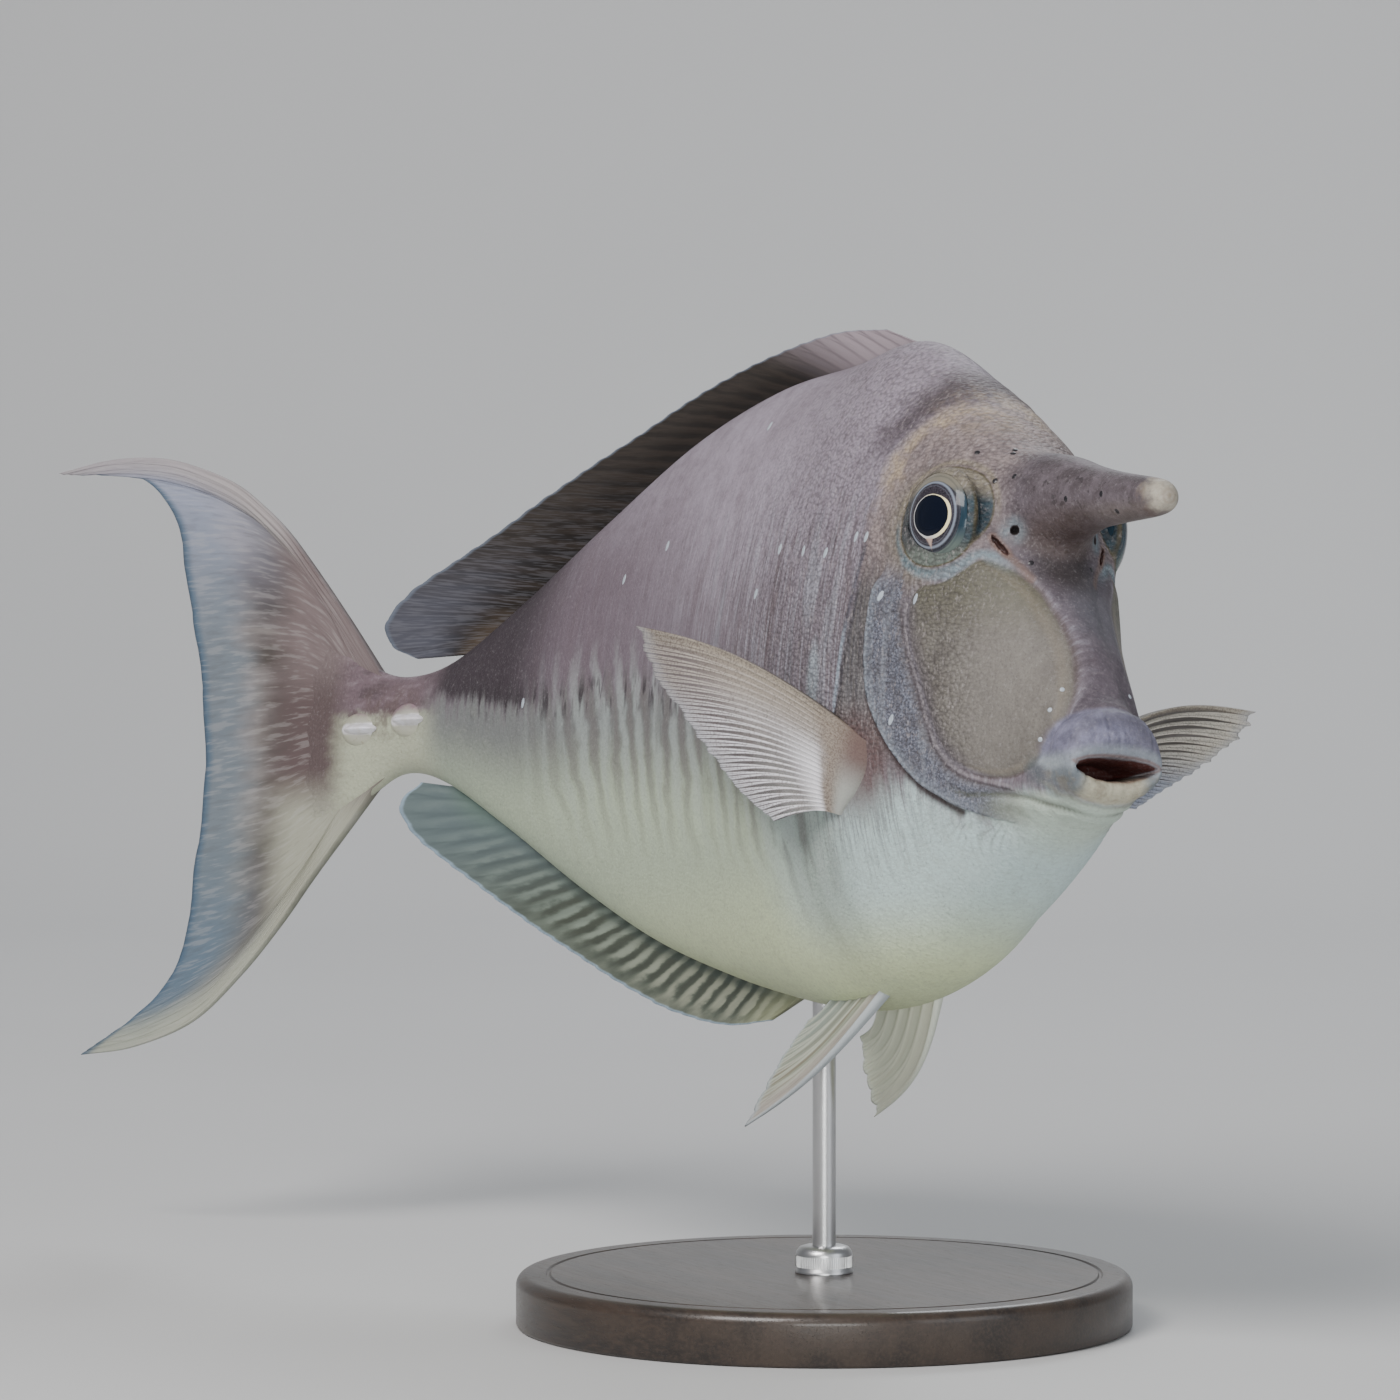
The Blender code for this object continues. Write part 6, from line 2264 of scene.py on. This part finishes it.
def eye_paint() -> Material:
    """A blue-black pupil, a white ring that widens to gold in front, a dark iris, silver and blue rings.

    Returns:
        The finished material.
    """
    paint = Paint("eyeball")
    place = paint.vector("iris")
    x, y, _ = paint.parts(place)
    radius = paint.number("off_axis")
    wobble = paint.noise(place, 0.35, 3)
    edge = radius + (wobble - 0.5) * 0.5
    threads = paint.noise(paint.stretched(place, (1.0, 1.0, 0.3)), 1.6, 4, 0.7)
    iris = paint.mix(threads.step(0.35, 0.7), (0.014, 0.012, 0.018), (0.06, 0.052, 0.066))
    rings = (radius * 5.2 + wobble * 4.0).sine().step(0.2, 1.0)
    colour = paint.mix(rings * edge.step(8.4, 10.0) * 0.35, iris, (0.16, 0.17, 0.21))
    outer = paint.mix(x.step(-9.0, 9.0), (0.045, 0.06, 0.075), (0.018, 0.04, 0.06))
    outer = paint.mix(y.step(-4.0, -11.0) * 0.8, outer, (0.13, 0.16, 0.14))
    outer = paint.mix(y.step(5.0, 10.0), outer, (0.19, 0.175, 0.14))
    waves = (radius * 3.4 + wobble * 3.0).sine().step(0.3, 1.0)
    outer = paint.mix(waves * 0.25, outer, (0.015, 0.025, 0.035))
    pupil = paint.number("off_pupil") + (wobble - 0.5) * 0.35
    lit = (x - y * 0.75).step(-2.0, 6.5)
    bright = paint.mix((x + y * 0.3).step(-3.5, 5.0), (0.55, 0.55, 0.54), (0.85, 0.76, 0.46))
    drop = (x.absolute() + (y + 7.6).absolute() * 0.45 + wobble).step(2.5, 1.5) * y.step(-7.2, -8.0)
    colour = paint.over(
        colour,
        (radius.band(10.7, 0.7) * 0.75, (0.25, 0.29, 0.36)),
        (radius.band(11.8, 0.7) * 0.85, (0.018, 0.022, 0.03)),
        ((radius + y.step(3.0, 12.0) * 1.3).step(12.1, 12.6), outer),
        ((pupil - lit * 0.75).step(7.35, 7.15), bright),
        (drop * 0.85, (0.5, 0.36, 0.3)),
        (pupil.step(7.05, 6.9), (0.002, 0.004, 0.012)),
    )
    return paint.finish(colour, 0.25, None, Coat_Weight=0.3, Coat_Roughness=0.03, Specular_IOR_Level=0.12)


# Small pieces


class Copies(Graph):
    """A Geometry Nodes tree with named sizes and a material, which sets copies of a shape on points."""

    def __init__(self, name: str, sizes: dict[str, float]) -> None:
        """Starts the tree with an input for each size.

        Args:
            name: the tree's name.
            sizes: each size's name and value.
        """
        super().__init__(bpy.data.node_groups.new(name, "GeometryNodeTree"))
        add = self.tree.interface.new_socket
        add("Geometry", in_out="INPUT", socket_type="NodeSocketGeometry")
        for key, value in sizes.items():
            add(key, in_out="INPUT", socket_type="NodeSocketFloat").default_value = value
        add("Material", in_out="INPUT", socket_type="NodeSocketMaterial")
        add("Geometry", in_out="OUTPUT", socket_type="NodeSocketGeometry")
        self.entry = self.node("NodeGroupInput", {}, {}).outputs

    def spread(self, points: NodeSocket, shape: NodeSocket, **others: NodeSocket) -> NodeSocket:
        """Sets a shape on each vertex of a mesh; others are the node's further inputs, such as Scale.

        Args:
            points: the mesh.
            shape: what is copied.
            others: further inputs by name.

        Returns:
            The copies.
        """
        spots = self.node("GeometryNodeMeshToPoints", {}, {"Mesh": points}).outputs["Points"]
        made = self.node("GeometryNodeInstanceOnPoints", {}, {"Points": spots, "Instance": shape, **others})
        return made.outputs["Instances"]

    def finish(self, shape: NodeSocket) -> "Copies":
        """Ends the tree: copies made real, then the material.

        Args:
            shape: the geometry that is shown.

        Returns:
            The finished tree.
        """
        real = self.node("GeometryNodeRealizeInstances", {}, {"Geometry": shape}).outputs["Geometry"]
        inputs = {"Geometry": real, "Material": self.entry["Material"]}
        dressed = self.node("GeometryNodeSetMaterial", {}, inputs).outputs["Geometry"]
        self.node("NodeGroupOutput", {}, {"Geometry": dressed})
        return self

    def bake(self, host: Object, inputs: dict[str, object]) -> Object:
        """Runs the tree on an object and keeps the result as a plain mesh.

        Args:
            host: the object that carries the tree's input mesh; it is removed.
            inputs: values by input name.

        Returns:
            A new object of the same name.
        """
        identifiers = {item.name: item.identifier for item in self.tree.interface.items_tree
                       if item.in_out == "INPUT"}
        modifier = host.modifiers.new("Nodes", "NODES")
        modifier.node_group = self.tree
        for key, value in inputs.items():
            modifier[identifiers[key]] = value
        bpy.context.view_layer.update()
        evaluated = host.evaluated_get(bpy.context.evaluated_depsgraph_get())
        mesh = bpy.data.meshes.new_from_object(evaluated)
        name = host.name
        host.modifiers.clear()
        bpy.data.objects.remove(host)
        mesh.name = name
        obj = bpy.data.objects.new(name, mesh)
        bpy.context.scene.collection.objects.link(obj)
        return obj


@dataclass
class Marks(Part):
    """Small raised marks on the skin: pale spots on the flank and dark domes for the pores on the brow, whose
    dark is painted shade of the pits.
    """

    spots: Points = ((-0.2064, 0.0924), (-0.1718, 0.0292), (-0.1597, 0.0436), (-0.1408, 0.0411),
                     (-0.1255, 0.039), (-0.1006, 0.0421), (-0.1074, 0.0428), (-0.0853, 0.021),
                     (-0.07, 0.0191), (-0.2856, 0.0444), (-0.2564, 0.0539), (-0.3474, 0.0042),
                     (-0.079, -0.02))
    cheek_spots: Points = ((-0.017, -0.0122), (-0.0173, -0.0191), (-0.019, -0.0287))
    pores: Points = ((-0.0556, 0.0585), (-0.0495, 0.0598), (-0.0578, 0.0686), (-0.059, 0.07),
                     (-0.0654, 0.0687), (-0.0233, 0.0502), (-0.005, 0.0503), (0.0009, 0.0443),
                     (-0.042, 0.031))

    def domes(self) -> Copies:
        """Sets a flattened dome on each point, facing along the stored normal.

        Returns:
            The tree.
        """
        tree = Copies("skin_marks", {"Width": 0.001, "Height": 0.002, "Thickness": 0.0004})
        dome = tree.node("GeometryNodeMeshIcoSphere", {}, {"Radius": 1.0, "Subdivisions": 3})
        facing = tree.node("GeometryNodeInputNamedAttribute", {"data_type": "FLOAT_VECTOR"},
                           {"Name": "facing"})
        turn = tree.node("FunctionNodeAlignRotationToVector", {"axis": "Z"},
                         {"Vector": facing.outputs["Attribute"]})
        size = tree.node("ShaderNodeCombineXYZ", {}, {index: tree.entry[index + 1] for index in range(3)})
        return tree.finish(tree.spread(tree.entry["Geometry"], dome.outputs["Mesh"],
                                       Rotation=turn.outputs["Rotation"], Scale=size.outputs["Vector"]))

    def host(self, name: str, marks: Points, skin: BVHTree) -> Object:
        """A mesh of loose points on both sides of the placed skin, each with the way it faces.

        Args:
            name: the object's name.
            marks: (x, z) pairs.
            skin: the placed skin's surface.

        Returns:
            The new object.
        """
        matrix = self.pose.matrix(self.form)
        points, facings = [], []
        for x, z in marks:
            for side in Side:
                outer = np.array([[x, side.value * 0.08, z], [x, side.value * 0.005, z]])
                start, end = (matrix @ Vector(row) for row in self.pose.swept(outer))
                point, normal, _, _ = skin.ray_cast(start, (end - start).normalized())
                if point is not None:
                    points.append(point)
                    facings.append(normal)
        obj = mesh_from(name, np.array(points), [])
        store(obj, "facing", np.array(facings))
        return obj

    def build(self, skin: Object) -> None:
        """Sets the spots and the pores on the skin.

        Args:
            skin: the skin's object.
        """
        surface, tree = surface_tree(skin), self.domes()
        white = plain_paint("pale_spot", (0.5, 0.56, 0.63), 0.35)
        # The pores are pits in the skin: the dark of these domes is painted shade.
        dark = plain_paint("brow_pore", (0.018, 0.016, 0.02), 0.25)
        for name, places, material, width, height, thickness in (
            ("flank_spots", self.spots, white, 0.0009, 0.0019, 0.0002),
            ("cheek_spots", self.cheek_spots, white, 0.0008, 0.0008, 0.00018),
            ("brow_pores", self.pores, dark, 0.0009, 0.001, 0.0002),
        ):
            sizes = {"Width": width, "Height": height, "Thickness": thickness, "Material": material}
            dress(tree.bake(self.host(name, places, surface), sizes), material, Slot.SKIN)


def plain_paint(name: str, colour: Colour, roughness: float) -> Material:
    """A small mark's finish: one colour, clouded.

    Args:
        name: the material's name.
        colour: the mark's colour.
        roughness: its least roughness.

    Returns:
        The material.
    """
    paint = Paint(name)
    cloud = paint.noise(paint.object_place(), 900, 2)
    darker = tuple(0.6 * part for part in colour)
    return paint.finish(paint.mix(cloud, darker, colour), roughness + cloud * 0.1, None, Coat_Weight=0.2)


@dataclass
class TailPlates(Part):
    """The bony plates on the tail stalk, each with a keel that points forwards."""

    plates: Points = ((-0.4208, 0.0023), (-0.4475, 0.0))
    half: Sequence[float] = (0.0105, 0.004, 0.0068)
    keel_length: float = 0.0094
    keel_reach: float = 0.0053
    keel_half: float = 0.0023

    def keel(self, place: Matrix) -> Object:
        """One keel: a wedge with a thin outer edge, drawn out to a forward point.

        Args:
            place: where it goes.

        Returns:
            The new object.
        """
        run = np.linspace(-1, 1, 48)
        angle = np.linspace(0, 2 * math.pi, 40, endpoint=False)
        profile = np.sqrt(np.clip(1 - run**2, 0, 1))
        reach = self.keel_reach * profile**0.7 * (1 + 0.15 * run)
        out = np.clip(np.cos(angle), 0, 1)
        thick = self.keel_half * profile[:, None] * (1 - 0.4 * out[None, :] ** 2)
        rings = np.stack([
            self.keel_length * (run[:, None] * 0.88 + 0.12 * out[None, :] * profile[:, None] ** 0.5),
            reach[:, None] * np.cos(angle),
            thick * np.sin(angle),
        ], axis=-1)
        obj = loft("keel", rings[1:-1])
        set_vertices(obj, moved(vertices_of(obj), place))
        face_outwards(obj)
        return obj

    def build(self) -> None:
        """Makes the four plates as one piece for each side."""
        material = bone_paint()
        for side in Side:
            parts = []
            for x, z in self.plates:
                station = np.interp(x, [row[0] for row in self.form.sections[:6]], range(6))
                out = float(self.form.surface(np.array(station), np.array(math.pi / 2))[1])
                place = Matrix.Translation((x, side.value * (out - 0.0022), z))
                parts.append(ellipsoid("plate", self.half, place, 64))
                edge = Matrix.Translation((x, side.value * (out - 0.0006), z))
                parts.append(self.keel(edge @ Matrix.Diagonal((1, side.value, 1, 1))))
            obj = parts[0]
            combine(obj, [parts[1]], "UNION")
            combine(parts[2], [parts[3]], "UNION")
            combine(obj, [parts[2]], "UNION")
            obj.name = obj.data.name = f"tail_plates_{side.name.lower()}"
            self.marks(obj)
            self.pose.place(obj, self.form)
            face_outwards(obj)
            dress(obj, material, Slot.SKIN)

    def marks(self, obj: Object) -> None:
        """Stores the straight place and how near the keel's ridge each point is.

        Args:
            obj: the mesh object.
        """
        points = vertices_of(obj)
        ridge, rim = np.full(len(points), 1.0), np.full(len(points), 9.0)
        for x, z in self.plates:
            away = np.hypot((points[:, 0] - x) / self.half[0], (points[:, 2] - z) / self.half[2])
            here = away < rim
            rim[here] = away[here]
            beyond = np.maximum(np.abs(points[here, 0] - x) - 0.006, 0)
            ridge[here] = np.hypot(beyond * 0.6, points[here, 2] - z)
        store(obj, "spot", points * 10)
        store(obj, "ridge", ridge * 1000)
        store(obj, "rim", rim)


def bone_paint() -> Material:
    """A bright bony keel on a plate that takes the colours of the skin towards its rim.

    Returns:
        The finished material.
    """
    paint = Paint("tail_plate_bone")
    place = paint.vector("spot")
    _, _, z = paint.parts(place)
    cloud = paint.noise(place, 18, 4)
    grain = paint.noise(place, 90, 3)
    skin = paint.mix((z + (cloud - 0.5) * 0.1).step(0.02, 0.08), (0.4, 0.4, 0.31), (0.245, 0.165, 0.195))
    plate = paint.mix(paint.number("rim").step(0.78, 0.35) * 0.8, skin, (0.43, 0.425, 0.37))
    plate = paint.mix(grain.step(0.58, 0.7) * 0.35, plate, (0.22, 0.15, 0.1))
    keel = paint.mix(cloud.step(0.35, 0.75), (0.86, 0.85, 0.93), (0.7, 0.67, 0.68))
    colour = paint.mix((paint.number("ridge") + (cloud - 0.5) * 1.2).step(2.6, 1.2), plate, keel)
    return paint.finish(colour, 0.3 + cloud * 0.2, grain, 0.00012, Coat_Weight=0.2, Coat_Roughness=0.15)


# Stand


@dataclass
class Stand:
    """The round wooden base, the knurled collar and the rod."""

    pose: Pose
    radius: float = 0.105
    thickness: float = 0.018
    edge: float = 0.004
    rod_radius: float = 0.004
    collar_radius: float = 0.01
    collar_height: float = 0.009
    gap: float = 0.0003

    def base(self) -> Object:
        """The base: a flat top, a turned line near its rim, a rounded edge and a flat underside.

        Returns:
            The new object.
        """
        profile = [(0.002, self.thickness)]
        groove = self.radius - 0.011
        profile += [(groove - 0.0009, self.thickness), (groove - 0.0004, self.thickness - 0.0006),
                    (groove + 0.0004, self.thickness - 0.0006), (groove + 0.0009, self.thickness)]
        for angle in np.linspace(0, math.pi / 2, 12):
            profile.append((self.radius - self.edge + self.edge * math.sin(angle),
                            self.thickness - self.edge + self.edge * math.cos(angle)))
        profile += [(self.radius, 0.0012), (self.radius - 0.0004, 0.0004), (self.radius - 0.0012, 0.0),
                    (0.002, 0.0)]
        return turned("display_base", profile, 192)

    def collar(self) -> Object:
        """The collar's turned body.

        Returns:
            The new object.
        """
        low, high = self.thickness + 0.0001, self.thickness + self.gap + self.collar_height
        wide = self.collar_radius - 0.0004
        profile = [
            (self.rod_radius + 0.0001, high), (wide - 0.003, high), (wide - 0.0012, high - 0.0006),
            (wide - 0.0003, high - 0.0018), (wide, high - 0.0028), (wide, low + 0.0012),
            (wide + 0.0003, low + 0.0008), (wide + 0.0003, low), (self.rod_radius + 0.0001, low),
        ]
        return turned("display_collar", profile, 96)

    def grip(self) -> Copies:
        """Sets a small rib at each point of a circle, so that a hand can turn the collar.

        Returns:
            The tree.
        """
        tree = Copies("collar_grip", {"Radius": 0.0096, "Rib": 0.00022, "Length": 0.0038})
        circle = tree.node("GeometryNodeMeshCircle", {}, {"Vertices": 72, "Radius": tree.entry["Radius"]})
        inputs = {"Vertices": 6, "Radius": tree.entry["Rib"], "Depth": tree.entry["Length"]}
        rib = tree.node("GeometryNodeMeshCylinder", {}, inputs)
        ribs = tree.spread(circle.outputs["Mesh"], rib.outputs["Mesh"])
        height = (0, 0, self.thickness + 0.004)
        lifted = tree.node("GeometryNodeTransform", {}, {"Geometry": ribs, "Translation": height})
        both = tree.node("GeometryNodeJoinGeometry", {}, {"Geometry": lifted.outputs["Geometry"]})
        tree.feed(both.inputs["Geometry"], tree.entry["Geometry"])
        return tree.finish(both.outputs["Geometry"])

    def rod(self) -> Object:
        """The rod, from the base to just inside the belly."""
        ends = (self.pose.rod_top + 0.0005, self.thickness + self.gap)
        return turned("display_rod", [(self.rod_radius, height) for height in ends], 64)

    def build(self) -> None:
        """Makes and dresses the stand's pieces."""
        steel = steel_paint()
        dress(self.base(), wood_paint(), Slot.WOOD, "stand_base")
        sizes = {"Radius": self.collar_radius - 0.0004, "Rib": 0.00022, "Length": 0.0038}
        collar = self.grip().bake(self.collar(), {**sizes, "Material": steel})
        dress(collar, steel, Slot.STEEL, "stand_collar")
        dress(self.rod(), steel, Slot.STEEL, "stand_rod")
        for obj in bpy.data.objects:
            if obj.name.startswith("display_"):
                obj.data.set_sharp_from_angle(angle=math.radians(38))


def wood_paint() -> Material:
    """Dark stained wood with long grain and open pores.

    Returns:
        The finished material.
    """
    paint = Paint("dark_wood")
    place = paint.object_place()
    waves = paint.noise(place, (7, 60, 60), 5, 0.6)
    grain = paint.noise(place, (40, 900, 900), 3, 0.6)
    pores = paint.noise(place, (120, 2200, 2200), 2).step(0.62, 0.7)
    colour = paint.mix(waves.step(0.35, 0.65), (0.016, 0.011, 0.009), (0.042, 0.028, 0.02))
    colour = paint.over(
        colour,
        (grain.step(0.4, 0.7) * 0.5, (0.06, 0.04, 0.028)),
        (pores * 0.6, (0.006, 0.004, 0.003)),
    )
    return paint.finish(colour, 0.3 + grain * 0.18, grain * 0.5 - pores * 0.6, 0.00012, Coat_Weight=0.25,
                        Coat_Roughness=0.15)


def steel_paint() -> Material:
    """Brushed steel.

    Returns:
        The finished material.
    """
    paint = Paint("brushed_steel")
    place = paint.object_place()
    brush = paint.noise(place, (300, 300, 6000), 3)
    cloud = paint.noise(place, 60, 3)
    colour = paint.mix(cloud, (0.5, 0.5, 0.51), (0.62, 0.62, 0.62))
    return paint.finish(colour, 0.24 + brush * 0.16, brush, 0.00003, Metallic=1.0)


# Studio


@dataclass
class Studio:
    """Floor, lights and camera."""

    camera_place: Sequence[float] = (2.1155, -1.1952, 0.3388)
    camera_turn: Sequence[float] = (87.039, 0.0, 61.532)
    lens: float = 184.38

    def floor(self) -> None:
        """A pale floor that curves up behind the fish, with a wall that is clear when seen from its back."""
        profile = [(9.0, 0.0), (-1.6, 0.0)]
        for angle in np.linspace(0, math.pi / 2, 24)[1:]:
            profile.append((-1.6 - 0.8 * math.sin(angle), 0.8 * (1 - math.cos(angle))))
        profile.append((-2.4, 4.0))
        turn = Matrix.Rotation(math.radians(self.camera_turn[2] - 90), 4, "Z")
        points = [(x, y, z) for x, z in profile for y in (-7.0, 7.0)]
        faces = [(2 * i, 2 * i + 1, 2 * i + 3, 2 * i + 2) for i in range(len(profile) - 1)]
        obj = mesh_from("studio_floor", moved(np.array(points), turn), faces)
        shape = bmesh.new()
        shape.from_mesh(obj.data)
        shape.faces.ensure_lookup_table()
        if shape.faces[0].normal.z < 0:
            bmesh.ops.reverse_faces(shape, faces=shape.faces)
        shape.to_mesh(obj.data)
        shape.free()
        paint = Paint("studio_floor")
        cloud = paint.noise(paint.object_place(), 3, 2)
        obj.data.materials.append(paint.finish(paint.mix(cloud, (0.58, 0.58, 0.58), (0.62, 0.62, 0.62)), 0.7))
        back = paint.node("ShaderNodeNewGeometry", {}, {}).outputs["Backfacing"]
        clear = paint.node("ShaderNodeBsdfTransparent", {}, {}).outputs[0]
        wall = paint.node("ShaderNodeMixShader", {}, {0: back, 1: paint.shader.outputs[0], 2: clear})
        paint.tree.links.new(wall.outputs[0], paint.tree.nodes["Material Output"].inputs["Surface"])
        obj.data.shade_smooth()

    def light(self, name: str, place: Sequence[float], target: Sequence[float], size: float, power: float,
              colour: Colour) -> None:
        """One soft square light that faces a target.

        Args:
            name: its name.
            place: where it stands.
            target: what it faces.
            size: the length of its edge.
            power: its power in watts.
            colour: its colour.
        """
        data = bpy.data.lights.new(name, "AREA")
        data.shape = "SQUARE"
        data.size = size
        data.energy = power
        data.color = colour
        obj = bpy.data.objects.new(name, data)
        obj.location = place
        direction = Vector(target) - Vector(place)
        obj.rotation_euler = direction.to_track_quat("-Z", "Y").to_euler()
        bpy.context.scene.collection.objects.link(obj)

    def build(self) -> None:
        """Sets up everything around the fish."""
        self.floor()
        middle = (-0.02, 0.0, 0.2)
        self.light("key", (0.9, -1.8, 2.0), middle, 1.2, 74, (1.0, 0.97, 0.95))
        self.light("fill", (2.4, 1.0, 0.7), middle, 1.6, 16, (0.9, 0.95, 1.0))
        self.light("rim", (-1.4, 1.3, 1.8), middle, 0.9, 18, (0.92, 0.96, 1.0))
        self.light("low", (1.5, -0.8, 0.1), (-0.02, 0.0, 0.2), 0.7, 15, (0.98, 1.0, 0.98))
        world = bpy.context.scene.world or bpy.data.worlds.new("studio")
        bpy.context.scene.world = world
        world.use_nodes = True
        world.node_tree.nodes["Background"].inputs[0].default_value = (0.8, 0.83, 0.88, 1.0)
        world.node_tree.nodes["Background"].inputs[1].default_value = 0.3
        data = bpy.data.cameras.new("camera")
        data.lens = self.lens
        data.sensor_width = 36.0
        data.clip_start, data.clip_end = 0.05, 50.0
        camera = bpy.data.objects.new("camera", data)
        camera.location = self.camera_place
        camera.rotation_euler = [math.radians(turn) for turn in self.camera_turn]
        bpy.context.scene.collection.objects.link(camera)
        bpy.context.scene.camera = camera


def main() -> None:
    """Builds each piece in order."""
    logging.basicConfig(level=logging.INFO, format="%(message)s")
    form, pose = Form(), Pose()
    skin = Skin(form, pose).build()
    Marks(form, pose).build(skin)
    eyes = eye_paint()
    for side in Side:
        Eye(form, pose, side).build(eyes)
    Fins(form, pose).build()
    TailPlates(form, pose).build()
    Stand(pose).build()
    Studio().build()


if __name__ == "__main__":
    main()
